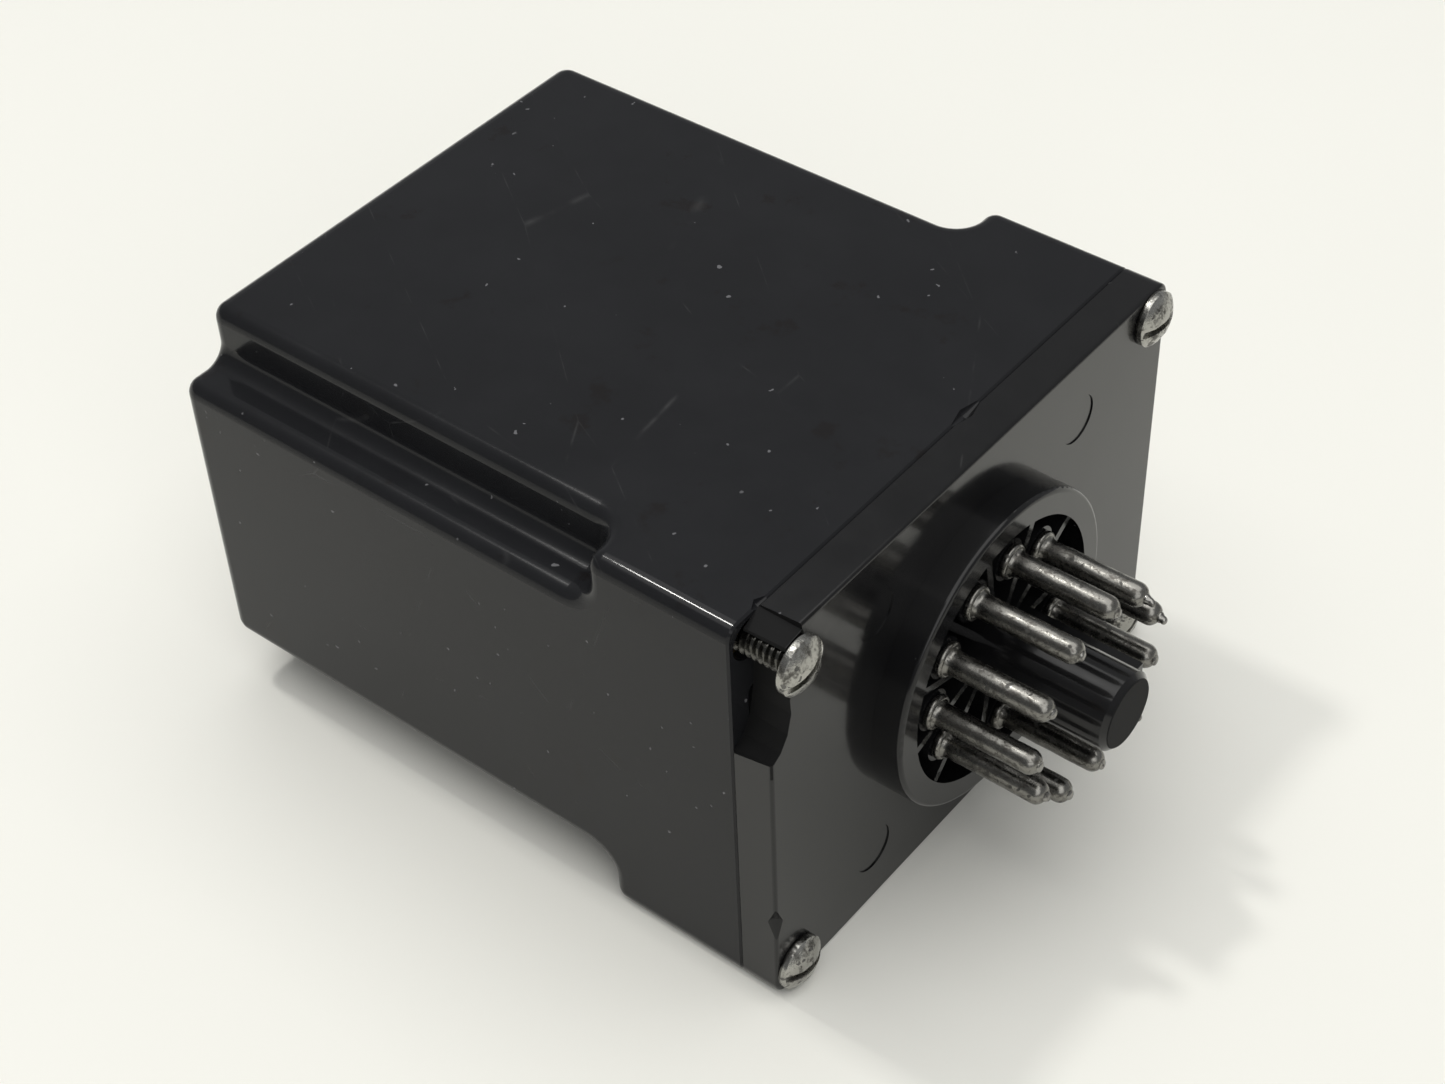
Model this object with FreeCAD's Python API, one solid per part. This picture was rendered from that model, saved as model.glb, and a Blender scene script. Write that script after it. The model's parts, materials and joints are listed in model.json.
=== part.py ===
import FreeCAD, Part
import math
import os
from FreeCAD import Vector

# Plug-in relay with an eleven-pin round plug, lying on one of its broad sides.
# Millimetres. +X runs along the plug out of the pins, +Y across the broad side,
# +Z up. The pieces are drawn from the front face of the base plate. At the end they all
# move back by the boss's height, so that the origin is on the plug's axis in the plane
# of the boss's rim, where the relay seats on its socket.

# ---- case: overall sizes ----
CASE_WIDTH = 60.3            # across the broad side, along Y
CASE_HEIGHT = 44.45          # along Z
CASE_LENGTH = 69.85          # from the base plate's front face to the far end
WALL = 2.4
PLATE_THICKNESS = 4.2
STEP_IN = 4.8                # how far each long edge is stepped in, along Y
STEP_DOWN = 5.9              # the same step, along Z
SHOULDER_BACK = 19.6         # where the step stops, behind the front face
EDGE_RADIUS = 1.5            # outer rounding of the long edges
FAR_END_RADIUS = 1.9
STEP_FILLET = 1.8            # hollow in the step's inner corner
SHOULDER_FILLET = 2.8
CAVITY_RADIUS = 1.0
SEAM_CHAMFER = 0.2           # makes the groove between housing and base plate
RIM_DEPTH = 1.5              # locating rim on the back of the base plate
RIM_WALL = 1.2
RIM_CLEARANCE = 0.15
PLATE_EDGE_RADIUS = 0.35

# ---- how shapes are cut and joined ----
SPARE = 1.0                  # a cutting shape runs this far past the face it cuts
BITE = 0.5                   # joined shapes run this far into each other
TOUCH = 0.01                 # how near two faces or edges count as the same

# ---- nameplate on the far end ----
NAMEPLATE_WIDTH = 40.0
NAMEPLATE_HEIGHT = 24.0
NAMEPLATE_THICKNESS = 0.4
NAMEPLATE_RECESS = 0.3
NAMEPLATE_GAP = 0.2
NAMEPLATE_CORNER = 1.5

# ---- plug ----
BOSS_RADIUS = 16.05
BOSS_HEIGHT = 3.1
BOSS_EDGE = 0.45
WELL_RADIUS = 13.5
WELL_DEPTH = 5.1             # below the boss's rim
BACK_DISC_RADIUS = 15.0
BACK_DISC_HEIGHT = 2.3
RIB_THICKNESS = 0.8
RIB_DROP = 0.9               # ribs stop this far below the boss's rim
PIN_COUNT = 11
PIN_CIRCLE_RADIUS = 9.9
PIN_RADIUS = 1.18
PIN_WALL = 0.4
PIN_TIP = 13.6               # from the front face
PIN_TAIL = 3.0               # behind the back disc
PIN_NOSE_WALL = 0.9
PIN_NOSE_FLAT = 0.01         # flat ring left between the nose's rounding and its hole
PIN_NOSE_HOLE = 0.42
PIN_FIT = 0.02               # clearance of a pin in its hole
COLLAR_RIM = 0.57            # collar beyond the pin
COLLAR_THICKNESS = 0.75
COLLAR_EDGE = 0.34
COLLAR_DROP = 0.1            # the collar's outer face is this far below the boss's rim
PILLAR_RIM = 0.35            # pillar beyond the collar
SOLDER_EDGE = 0.8            # share of a bead's radius that is rounded
SOLDER_LENGTHS = (0.35, 0.9, 0.3, 0.35, 0.45, 0.35, 0.6, 0.35, 0.3, 1.1, 0.9)   # pin 1 to pin 11
POST_RADIUS = 3.95           # of the round end beyond the key
POST_DRAFT = 0.12            # added to the radius at the root, so that the moulding leaves its die
POST_TIP = 16.4
POST_CHAMFER = 0.58
KEY_WIDTH = 2.1
KEY_HEIGHT = 1.25
KEY_TIP = 14.6
MOULD_MARK_RADIUS = 2.5
MOULD_MARK_DEPTH = 0.12
MOULD_MARK_Y = 15.6
MOULD_MARK_Z = 15.2

# ---- cover screws at the four corners ----
SCREW_INSET = 2.75
SCREW_LENGTH = 15.0
SCREW_RADIUS = 1.42
SCREW_PITCH = 0.64
THREAD_DEPTH = 0.36
CREST_START = 0.42           # share of a pitch where the thread's crest starts
CREST_END = 0.58
POINT_TAPER = 0.2
SCREW_HOLE_SPARE = 1.5       # hole beyond the screw's point
SCREW_HOLE_CLEARANCE = 0.2
SCREW_HEAD_RADIUS = 2.75
SCREW_HEAD_RIM = 0.7
SCREW_HEAD_HEIGHT = 1.75
SLOT_WIDTH = 0.75
SLOT_DEPTH = 0.95
SLOT_ANGLES = (22.0, -4.0, 6.0, 35.0)     # near top, near bottom, far top, far bottom
HEAD_GAPS = (0.6, 0.0, 0.0, 0.0)          # the near top screw has worked loose
INSERT_RADIUS = 2.1
INSERT_LENGTH = 7.0
INSERT_FIT = 0.04
INSERT_SLACK = 0.01          # between the bush and its hole
INSERT_SETBACK = 1.2         # the bush stops this far inside the housing's mouth

# ---- damage: a broken corner of the base plate and small chips ----
# (in from the near side, down from the top) along the break, in the front face and in the back face
# a flake is off the top above the screw, and below that the break runs through the screw's hole
BREAK_FRONT = ((4.5, -1.0), (4.4, 0.65), (2.2, 0.95), (1.95, 1.6), (2.0, 4.0), (3.1, 5.4), (2.6, 7.4),
               (2.75, 9.2), (2.2, 11.2), (1.2, 12.6), (0.3, 13.1), (-1.0, 13.4))
BREAK_BACK = ((4.2, -1.0), (4.1, 0.15), (2.1, 1.1), (1.9, 1.6), (2.1, 4.2), (3.3, 5.6), (3.2, 7.6),
              (3.0, 9.4), (2.6, 11.4), (1.6, 13.2), (0.3, 14.2), (-1.0, 14.5))
CHIP_POINT = 0.02
EDGE_CHIPS = (
    # x, y inset from the near side, z up from the bottom, length along the edge, radius, edge direction
    (0.0, 0.0, 10.2, 4.6, 0.95, "z"),
    (-PLATE_THICKNESS, 33.6, CASE_HEIGHT, 5.2, 0.65, "y"),
    (-PLATE_THICKNESS, 4.3, CASE_HEIGHT, 2.4, 0.65, "y"),
    (-5.3, CASE_WIDTH, CASE_HEIGHT, 3.0, 0.65, "x"),
)
PLATE_CHIPS = EDGE_CHIPS[:2]
HOUSING_CHIPS = EDGE_CHIPS[1:]

# ---- magnet: yoke, coil and armature ----
SHEET = 1.6                  # steel sheet of the yoke and armature
HEEL_FRONT = 18.4            # the heel's front face, behind the base plate's front face
HEEL_GAP = 3.75              # from the heel's free end to the housing's inside
HEEL_HALF_WIDTH = 12.5
YOKE_HALF_WIDTH = 11.0
COIL_GAP = 0.5               # from the bobbin's flange to the yoke's long leg
COIL_TO_HEEL_TOP = 15.0      # from the coil's axis to the heel's free end
CORE_RADIUS = 4.0
CORE_TENON_RADIUS = 3.0
CORE_STAKE_RADIUS = 3.6
CORE_STAKE_HEIGHT = 0.8
CORE_STAKE_CHAMFER = 0.4
POLE_RADIUS = 7.0
POLE_THICKNESS = 1.5
ARMATURE_ROOM = 11.45        # from the pole's face to the inside of the far end
BOBBIN_FLANGE_RADIUS = 11.5
BOBBIN_FLANGE = 1.2
BOBBIN_TUBE_RADIUS = 5.2
BOBBIN_CLEARANCE = 0.05
WINDING_RADIUS = 10.2
TAPE_THICKNESS = 0.3
TERMINAL_RADIUS = 0.5
TERMINAL_REACH = 2.9         # in front of the heel
TERMINAL_Z = 10.6
TERMINAL_NOTCH = 1.8
MOUNT_SCREW_INSET = 3.5      # from the heel's free end
MOUNT_SCREW_Z = 9.5
MOUNT_SCREW_RADIUS = 1.4
MOUNT_SCREW_HEAD_RADIUS = 2.5
MOUNT_SCREW_HEAD = 1.5
MOUNT_SCREW_LENGTH = 8.0
INNER_SCREW_SLACK = 0.02     # between an inner screw and the hole it cuts its thread in
INNER_SLOT_DEPTH = 0.7
COLUMN_RADIUS = 3.2
HINGE_BEHIND_POLE = 2.25
HINGE_PIN_RADIUS = 0.8
HINGE_CLEARANCE = 0.05
KNUCKLE_HALF_WIDTH = 8.4
KNUCKLE_SIDE_GAP = 0.2
EAR_WIDTH = 2.4
EAR_HALF_SIZE = 1.8
HINGE_HEAD_RADIUS = 1.3
HINGE_HEAD = 0.5
EAR_TO_LEG = 0.6             # yoke's long leg stops this far in front of its ears' round ends
ARMATURE_BEYOND_POLE = 3.0   # free end of the plate past the pole shoe
ARMATURE_TRAVEL = 3.85       # degrees between open and closed
POLE_RESIDUAL = 0.05         # gap that is left between the closed armature and the pole
LEG_OFFSET = 1.3             # closed leg's gap to the yoke's outer face
LEG_THICKNESS = 1.2
LEG_HALF_WIDTH = 8.0
CARD_BASE = 1.1
CARD_LENGTH = 4.0
CARD_HALF_WIDTH = 12.4
CARD_RIVET_RADIUS = 0.7
CARD_RIVET_HEAD_RADIUS = 1.3
CARD_RIVET_HEAD = 0.3
CARD_RIVET_Z = 4.5
FINGER_WIDTH = 0.9
FINGER_LENGTH = 1.6
FINGER_GAP = 0.04
FINGER_INSET = 0.15          # from the blade's edge
FINGER_LEVER = 11.25         # from the hinge to the fingers, along X

# ---- contact pile ----
POLE_PITCH = 9.0             # three poles side by side along Z
PILE_FRONT = 23.0            # behind the base plate's front face
PILE_LENGTH = 8.0
PILE_HALF_WIDTH = 13.0
FIXED_BLADE = 0.5
MOVING_BLADE = 0.4
INNER_SPACER = 3.8
BLADE_SPACER = 2.6
OUTER_SPACER = 1.4
CLAMP_PLATE = 1.2
CLOSED_BLADE_HALF_WIDTH = 1.75
OPEN_BLADE_HALF_WIDTH = 2.4
MOVING_BLADE_HALF_WIDTH = 3.2
FINGER_TO_CONTACT = 4.0
BLADE_OVERHANG = 2.0         # blade beyond its contact
CONTACT_RADIUS = 1.2
CLOSED_CONTACT_HEIGHT = 1.3
MOVING_OUTER_CONTACT_HEIGHT = 0.8
CONTACT_GAP = 0.04           # left between the open-side contacts when the armature is closed
TAIL_FRONT = 19.4            # solder tails stop here, behind the front face
TAIL_HALF_WIDTH = 1.2
PILE_SCREW_RADIUS = 1.3
PILE_SCREW_HEAD_RADIUS = 2.3
PILE_SCREW_HEAD = 1.5
PILE_SCREW_GAP = 0.1
BLADE_TO_SCREW = 0.3

# ---- lead wires ----
WIRE_RADIUS = 0.5
WIRE_INTO_PIN = 2.5
BEND_RADIUS = 1.6
BEND_SHARE = 0.45            # the most of a straight run that one bend may take
POLE_PINS = (
    # common, normally open and normally closed pin of each pole, from the lowest pole up
    (1, 3, 4),
    (6, 7, 5),
    (11, 9, 8),
)
COIL_PINS = (2, 10)
# where a lead turns: (behind the pins' back ends, behind the solder tails' front ends)
COMMON_TURNS = (1.7, 3.2)
OPEN_TURNS = (1.4, 2.6)
CLOSED_TURNS = (4.0, 2.6)
COIL_TURNS = (1.6, 1.6)
PILE_DROP = 8.4              # from the plug's axis to the closed blades, where these turns hold
CLOSED_TURN_GAIN = 0.232     # the closed leads turn earlier before their tails by this share of what
COMMON_TURN_GAIN = -0.1      # the pile sits higher, and the common leads later
OPEN_DETOUR_BEHIND_PIN = 3.5              # the outer poles' open leads pass outside the closed ones here
OPEN_DETOUR_Y = -5.5
OPEN_DETOUR_Z = 11.6

# ---- derived places ----
HALF_W = CASE_WIDTH / 2
HALF_H = CASE_HEIGHT / 2
WELL_FLOOR = BOSS_HEIGHT - WELL_DEPTH
BACK_DISC_FACE = -PLATE_THICKNESS - BACK_DISC_HEIGHT
PIN_BACK = BACK_DISC_FACE - PIN_TAIL
PILLAR_TOP = BOSS_HEIGHT - COLLAR_DROP - COLLAR_THICKNESS
COLLAR_RADIUS = PIN_RADIUS + COLLAR_RIM
PILLAR_RADIUS = COLLAR_RADIUS + PILLAR_RIM
PIN_BORE = PIN_RADIUS - PIN_WALL
PIN_NOSE_RADIUS = PIN_RADIUS - PIN_NOSE_HOLE - PIN_NOSE_FLAT
HEEL_BACK = -HEEL_FRONT - SHEET
HEEL_TOP = HALF_W - WALL - HEEL_GAP
MOUNT_SCREW_Y = HEEL_TOP - MOUNT_SCREW_INSET
COIL_Y = HEEL_TOP - COIL_TO_HEEL_TOP
POLE_FACE = -CASE_LENGTH + WALL + ARMATURE_ROOM
COIL_SPACE = HEEL_BACK - POLE_FACE - POLE_THICKNESS
ARMATURE_REACH = COIL_Y + POLE_RADIUS + ARMATURE_BEYOND_POLE
YOKE_INNER = COIL_Y - BOBBIN_FLANGE_RADIUS - COIL_GAP
YOKE_OUTER = YOKE_INNER - SHEET
HINGE_X = POLE_FACE - HINGE_BEHIND_POLE
HINGE_Y = YOKE_INNER - SHEET / 2
PIVOT_X = -PILE_FRONT - PILE_LENGTH
CLOSED_BLADE_Y = YOKE_OUTER - INNER_SPACER
MOVING_BLADE_Y = CLOSED_BLADE_Y - FIXED_BLADE - BLADE_SPACER
OPEN_BLADE_Y = MOVING_BLADE_Y - MOVING_BLADE - BLADE_SPACER
CLAMP_Y = OPEN_BLADE_Y - FIXED_BLADE - OUTER_SPACER
FINGER_X = HINGE_X + FINGER_LEVER
MOVING_LEVER = PIVOT_X - FINGER_X
CONTACT_LEVER = MOVING_LEVER + FINGER_TO_CONTACT
CONTACT_X = PIVOT_X - CONTACT_LEVER
LIFT = FINGER_LEVER * math.sin(math.radians(ARMATURE_TRAVEL))
BLADE_TRAVEL = math.asin(LIFT / MOVING_LEVER)
CONTACT_STROKE = (CONTACT_LEVER + CONTACT_RADIUS) * math.sin(BLADE_TRAVEL)
OPEN_CONTACT_HEIGHT = BLADE_SPACER - MOVING_OUTER_CONTACT_HEIGHT - CONTACT_STROKE - CONTACT_GAP
POLE_ROWS = (-POLE_PITCH, 0.0, POLE_PITCH)
CORNERS = ((-1, 1), (-1, -1), (1, 1), (1, -1))      # near top, near bottom, far top, far bottom
OPEN_DETOUR_X = PIN_BACK - OPEN_DETOUR_BEHIND_PIN
PILE_RISE = CLOSED_BLADE_Y + PILE_DROP


# ---- helpers ----
def box(x, y, z):
    """A box from three (low, high) pairs."""
    return Part.makeBox(x[1] - x[0], y[1] - y[0], z[1] - z[0], Vector(x[0], y[0], z[0]))


def rod(radius, x_low, x_high, y=0.0, z=0.0):
    """A round bar along X."""
    return Part.makeCylinder(radius, x_high - x_low, Vector(x_low, y, z), Vector(1, 0, 0))


def rod_y(radius, y_low, y_high, x, z):
    """A round bar along Y."""
    return Part.makeCylinder(radius, y_high - y_low, Vector(x, y_low, z), Vector(0, 1, 0))


def rod_z(radius, z_low, z_high, x, y):
    """A round bar along Z."""
    return Part.makeCylinder(radius, z_high - z_low, Vector(x, y, z_low), Vector(0, 0, 1))


def turned(profile, y=0.0, z=0.0):
    """A turned piece about an X axis, from its (x, radius) outline."""
    points = [Vector(x, r, 0) for x, r in profile]
    face = Part.Face(Part.makePolygon(points + [points[0]]))
    solid = face.revolve(Vector(0, 0, 0), Vector(1, 0, 0), 360)
    solid.translate(Vector(0, y, z))
    return solid


def rounded_block(half_y, half_z, radius, x_low, x_high):
    """A block along X with its four long edges rounded."""
    block = box((x_low, x_high), (-half_y, half_y), (-half_z, half_z))
    if radius <= 0:
        return block
    return block.makeFillet(radius, edges_along(block, Vector(1, 0, 0)))


def edges_along(shape, direction):
    """The straight edges of a shape that run along a direction."""
    found = []
    for edge in shape.Edges:
        if len(edge.Vertexes) == 2 and isinstance(edge.Curve, Part.Line):
            if abs(edge.Curve.Direction.dot(direction)) > 1.0 - TOUCH:
                found.append(edge)
    return found


def edges_at_x(shape, x):
    """The edges of a shape that lie in a plane across X."""
    low = x - TOUCH
    high = x + TOUCH
    return [e for e in shape.Edges if e.BoundBox.XMin > low and e.BoundBox.XMax < high]


def pin_place(number):
    """The (y, z) place of a pin. Pin 1 is next to the key; numbers run clockwise seen from the pins."""
    angle = -(2 * number - 1) * math.pi / PIN_COUNT
    return PIN_CIRCLE_RADIUS * math.cos(angle), PIN_CIRCLE_RADIUS * math.sin(angle)


def screw_places():
    """The (y, z) places of the four cover screws."""
    return [(sy * (HALF_W - SCREW_INSET), sz * (HALF_H - SCREW_INSET)) for sy, sz in CORNERS]


def stepped_core(inset, x_low, x_high):
    """A block along X with the stepped section of the housing, drawn in by an inset."""
    wide = box((x_low, x_high), (inset - HALF_W, HALF_W - inset),
               (STEP_DOWN + inset - HALF_H, HALF_H - STEP_DOWN - inset))
    tall = box((x_low, x_high), (STEP_IN + inset - HALF_W, HALF_W - STEP_IN - inset),
               (inset - HALF_H, HALF_H - inset))
    return wide.fuse(tall).removeSplitter()


def edge_chip(x, y_in, z_up, length, radius, direction):
    """A spindle that knocks a small chip out of an edge."""
    wedge = Part.makeCone(CHIP_POINT, radius, length / 2, Vector(0, 0, -length / 2), Vector(0, 0, 1))
    wedge = wedge.fuse(Part.makeCone(radius, CHIP_POINT, length / 2, Vector(0, 0, 0), Vector(0, 0, 1)))
    if direction == "x":
        wedge.rotate(Vector(0, 0, 0), Vector(0, 1, 0), 90)
    if direction == "y":
        wedge.rotate(Vector(0, 0, 0), Vector(1, 0, 0), 90)
    wedge.translate(Vector(x, y_in - HALF_W, z_up - HALF_H))
    return wedge


# ---- case ----
def step_cutter(sy, sz):
    """The bar that is taken off one long edge, rounded where it ends at the shoulder."""
    spare = SPARE + SHOULDER_FILLET
    block = box((-CASE_LENGTH - spare, -SHOULDER_BACK), (HALF_W - STEP_IN, HALF_W + spare),
                (HALF_H - STEP_DOWN, HALF_H + spare))
    inner = []
    for edge in edges_along(block, Vector(1, 0, 0)):
        centre = edge.CenterOfMass
        if centre.y < HALF_W - STEP_IN + TOUCH and centre.z < HALF_H - STEP_DOWN + TOUCH:
            inner.append(edge)
    block = block.makeFillet(STEP_FILLET, inner)
    ends = []
    for edge in edges_at_x(block, -SHOULDER_BACK):
        centre = edge.CenterOfMass
        if centre.y < HALF_W + spare - TOUCH and centre.z < HALF_H + spare - TOUCH:
            ends.append(edge)
    block = block.makeFillet(SHOULDER_FILLET, ends)
    if sy < 0:
        block = block.mirror(Vector(0, 0, 0), Vector(0, 1, 0))
    if sz < 0:
        block = block.mirror(Vector(0, 0, 0), Vector(0, 0, 1))
    return block


def housing():
    """The moulded cup: stepped outside, one plain stepped cavity inside, solid corners at the mouth."""
    mouth = -PLATE_THICKNESS
    shell = box((-CASE_LENGTH, mouth), (-HALF_W, HALF_W), (-HALF_H, HALF_H))
    for sy, sz in CORNERS:
        shell = shell.cut(step_cutter(sy, sz))
    shell = shell.makeFillet(FAR_END_RADIUS, edges_at_x(shell, -CASE_LENGTH))
    outer = [edge for edge in shell.Edges if on_outside(edge) and not at_an_end(edge)]
    shell = shell.makeFillet(EDGE_RADIUS, outer)
    shell = shell.makeChamfer(SEAM_CHAMFER, outer_loop(shell, mouth))
    cavity = stepped_core(WALL, -CASE_LENGTH + WALL, mouth + SPARE)
    cavity = cavity.makeFillet(CAVITY_RADIUS, edges_along(cavity, Vector(1, 0, 0)))
    shell = shell.cut(cavity)
    hole_end = -SCREW_LENGTH - SCREW_HOLE_SPARE
    for y, z in screw_places():
        shell = shell.cut(rod(SCREW_RADIUS + SCREW_HOLE_CLEARANCE, hole_end, mouth + SPARE, y, z))
        shell = shell.cut(rod(INSERT_RADIUS, mouth - INSERT_LENGTH, mouth + SPARE, y, z))
    recess = rounded_block(NAMEPLATE_WIDTH / 2 + NAMEPLATE_GAP, NAMEPLATE_HEIGHT / 2 + NAMEPLATE_GAP,
                           NAMEPLATE_CORNER, -CASE_LENGTH - SPARE, -CASE_LENGTH + NAMEPLATE_RECESS)
    shell = shell.cut(recess)
    for chip in HOUSING_CHIPS:
        shell = shell.cut(edge_chip(*chip))
    return shell


def on_outside(edge):
    """Whether an edge lies in one of the four outer side faces."""
    limits = edge.BoundBox
    flat_y = limits.YLength < TOUCH and abs(abs(limits.YMin) - HALF_W) < TOUCH
    flat_z = limits.ZLength < TOUCH and abs(abs(limits.ZMin) - HALF_H) < TOUCH
    return flat_y or flat_z


def at_an_end(edge):
    """Whether an edge of the housing lies in its mouth or beside its far end's rounding."""
    limits = edge.BoundBox
    at_mouth = limits.XMin > -PLATE_THICKNESS - TOUCH
    return at_mouth or limits.XMax < -CASE_LENGTH + FAR_END_RADIUS + TOUCH


def outer_loop(shape, x):
    """The edges round a shape's outline where it meets a plane across X."""
    loop = []
    for edge in edges_at_x(shape, x):
        centre = edge.CenterOfMass
        if abs(centre.y) > HALF_W - EDGE_RADIUS or abs(centre.z) > HALF_H - EDGE_RADIUS:
            loop.append(edge)
    return loop


def nameplate():
    """A thin blank plate in the shallow recess of the far end."""
    inner = -CASE_LENGTH + NAMEPLATE_RECESS
    return rounded_block(NAMEPLATE_WIDTH / 2, NAMEPLATE_HEIGHT / 2, NAMEPLATE_CORNER,
                         inner - NAMEPLATE_THICKNESS, inner)


def corner_break():
    """The piece that has broken off the base plate's near top corner."""
    def outline(points, x):
        corner = (-SPARE, -SPARE)
        places = [Vector(x, y_in - HALF_W, HALF_H - down) for y_in, down in (corner,) + points]
        return Part.makePolygon(places + [places[0]])
    sections = [outline(BREAK_BACK, -PLATE_THICKNESS - BITE), outline(BREAK_FRONT, BITE)]
    return Part.makeLoft(sections, True, True)


def base_plate():
    """The moulded base: plate, boss, ribbed well, key post, rim, columns and screw holes."""
    plate = rounded_block(HALF_W, HALF_H, EDGE_RADIUS, -PLATE_THICKNESS, 0.0)
    plate = plate.makeFillet(PLATE_EDGE_RADIUS, outer_loop(plate, 0.0))
    plate = plate.makeChamfer(SEAM_CHAMFER, outer_loop(plate, -PLATE_THICKNESS))
    boss = rod(BOSS_RADIUS, -BITE, BOSS_HEIGHT)
    boss = boss.makeFillet(BOSS_EDGE, edges_at_x(boss, BOSS_HEIGHT))
    plate = plate.fuse(boss)
    plate = plate.fuse(rod(BACK_DISC_RADIUS, BACK_DISC_FACE, -PLATE_THICKNESS + BITE))
    plate = plate.cut(rod(WELL_RADIUS, WELL_FLOOR, BOSS_HEIGHT + SPARE))
    plate = plate.fuse(plug_well())
    rim_back = -PLATE_THICKNESS - RIM_DEPTH
    rim = stepped_core(WALL + RIM_CLEARANCE, rim_back, -PLATE_THICKNESS + BITE)
    rim = rim.cut(stepped_core(WALL + RIM_CLEARANCE + RIM_WALL, rim_back - SPARE, -PLATE_THICKNESS + SPARE))
    rim = rim.makeChamfer(CAVITY_RADIUS, [e for e in edges_along(rim, Vector(1, 0, 0)) if is_rim_corner(e)])
    plate = plate.fuse(rim)
    for side in (-1, 1):
        plate = plate.fuse(rod(COLUMN_RADIUS, -HEEL_FRONT, -PLATE_THICKNESS + BITE,
                               MOUNT_SCREW_Y, side * MOUNT_SCREW_Z))
    for number in range(1, PIN_COUNT + 1):
        y, z = pin_place(number)
        plate = plate.cut(rod(PIN_RADIUS + PIN_FIT, PIN_BACK, PIN_TIP, y, z))
    for side in (-1, 1):
        plate = plate.cut(rod(MOUNT_SCREW_RADIUS, -HEEL_FRONT - SPARE, -HEEL_FRONT + MOUNT_SCREW_LENGTH,
                              MOUNT_SCREW_Y, side * MOUNT_SCREW_Z))
    for y, z in screw_places():
        plate = plate.cut(rod(SCREW_RADIUS + SCREW_HOLE_CLEARANCE, -PLATE_THICKNESS - SPARE, SPARE, y, z))
    for sy, sz in CORNERS:
        plate = plate.cut(rod(MOULD_MARK_RADIUS, -MOULD_MARK_DEPTH, SPARE,
                              sy * MOULD_MARK_Y, sz * MOULD_MARK_Z))
    plate = plate.cut(corner_break())
    for chip in PLATE_CHIPS:
        plate = plate.cut(edge_chip(*chip))
    return plate.removeSplitter()


def is_rim_corner(edge):
    """Whether an edge is one of the rim's outward corners, outside."""
    centre = edge.CenterOfMass
    reach_y = HALF_W - WALL - RIM_CLEARANCE
    reach_z = HALF_H - WALL - RIM_CLEARANCE
    at_side = abs(abs(centre.y) - reach_y) < TOUCH and abs(abs(centre.z) - (reach_z - STEP_DOWN)) < TOUCH
    at_top = abs(abs(centre.z) - reach_z) < TOUCH and abs(abs(centre.y) - (reach_y - STEP_IN)) < TOUCH
    return at_side or at_top


def plug_well():
    """Everything that stands in the boss's well: ribs between the pins, pin pillars, key post."""
    root = WELL_FLOOR - BITE
    post = turned([(root, 0.0), (root, POST_RADIUS + POST_DRAFT), (KEY_TIP, POST_RADIUS),
                   (POST_TIP - POST_CHAMFER, POST_RADIUS), (POST_TIP, POST_RADIUS - POST_CHAMFER),
                   (POST_TIP, 0.0)])
    key = box((root, KEY_TIP), (POST_RADIUS - BITE, POST_RADIUS + KEY_HEIGHT),
              (-KEY_WIDTH / 2, KEY_WIDTH / 2))
    well = post.fuse(key)
    for number in range(PIN_COUNT):
        angle = 360.0 * number / PIN_COUNT
        rib = box((root, BOSS_HEIGHT - RIB_DROP), (POST_RADIUS - BITE, WELL_RADIUS + BITE),
                  (-RIB_THICKNESS / 2, RIB_THICKNESS / 2))
        rib.rotate(Vector(0, 0, 0), Vector(1, 0, 0), angle)
        well = well.fuse(rib)
    for number in range(1, PIN_COUNT + 1):
        y, z = pin_place(number)
        well = well.fuse(rod(PILLAR_RADIUS, root, PILLAR_TOP, y, z))
    return well


# ---- plug pins and solder ----
def contact_pin(number):
    """A hollow plug pin with a rounded nose and a collar that sits on its pillar."""
    y, z = pin_place(number)
    outer = rod(PIN_RADIUS, PIN_BACK, PIN_TIP, y, z)
    outer = outer.makeFillet(PIN_NOSE_RADIUS, edges_at_x(outer, PIN_TIP))
    collar = rod(COLLAR_RADIUS, PILLAR_TOP, PILLAR_TOP + COLLAR_THICKNESS, y, z)
    collar = collar.makeFillet(COLLAR_EDGE, collar.Edges)
    pin = outer.fuse(collar)
    pin = pin.cut(rod(PIN_BORE, PIN_BACK - SPARE, PIN_TIP - PIN_NOSE_WALL, y, z))
    return pin.cut(rod(PIN_NOSE_HOLE, PIN_TIP - PIN_NOSE_WALL - SPARE, PIN_TIP + SPARE, y, z))


def solder_tip(number):
    """The bead of solder that closes a pin's nose."""
    y, z = pin_place(number)
    length = SOLDER_LENGTHS[number - 1]
    plug = rod(PIN_NOSE_HOLE, PIN_TIP - PIN_NOSE_WALL, PIN_TIP, y, z)
    bead = rod(PIN_NOSE_HOLE, PIN_TIP, PIN_TIP + length, y, z)
    bead = bead.makeFillet(min(PIN_NOSE_HOLE, length) * SOLDER_EDGE, edges_at_x(bead, PIN_TIP + length))
    return plug.fuse(bead).removeSplitter()


# ---- cover screws ----
def thread_profile(x_head, length, radius):
    """The (x, radius) outline of a threaded shank with ring-shaped thread crests."""
    points = [(x_head, 0.0), (x_head, radius - THREAD_DEPTH)]
    count = int(length / SCREW_PITCH) - 1
    for turn in range(count):
        start = x_head - turn * SCREW_PITCH
        points.append((start - SCREW_PITCH * CREST_START, radius))
        points.append((start - SCREW_PITCH * CREST_END, radius))
        points.append((start - SCREW_PITCH, radius - THREAD_DEPTH))
    points.append((x_head - length, radius - THREAD_DEPTH - POINT_TAPER))
    points.append((x_head - length, 0.0))
    return points


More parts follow.
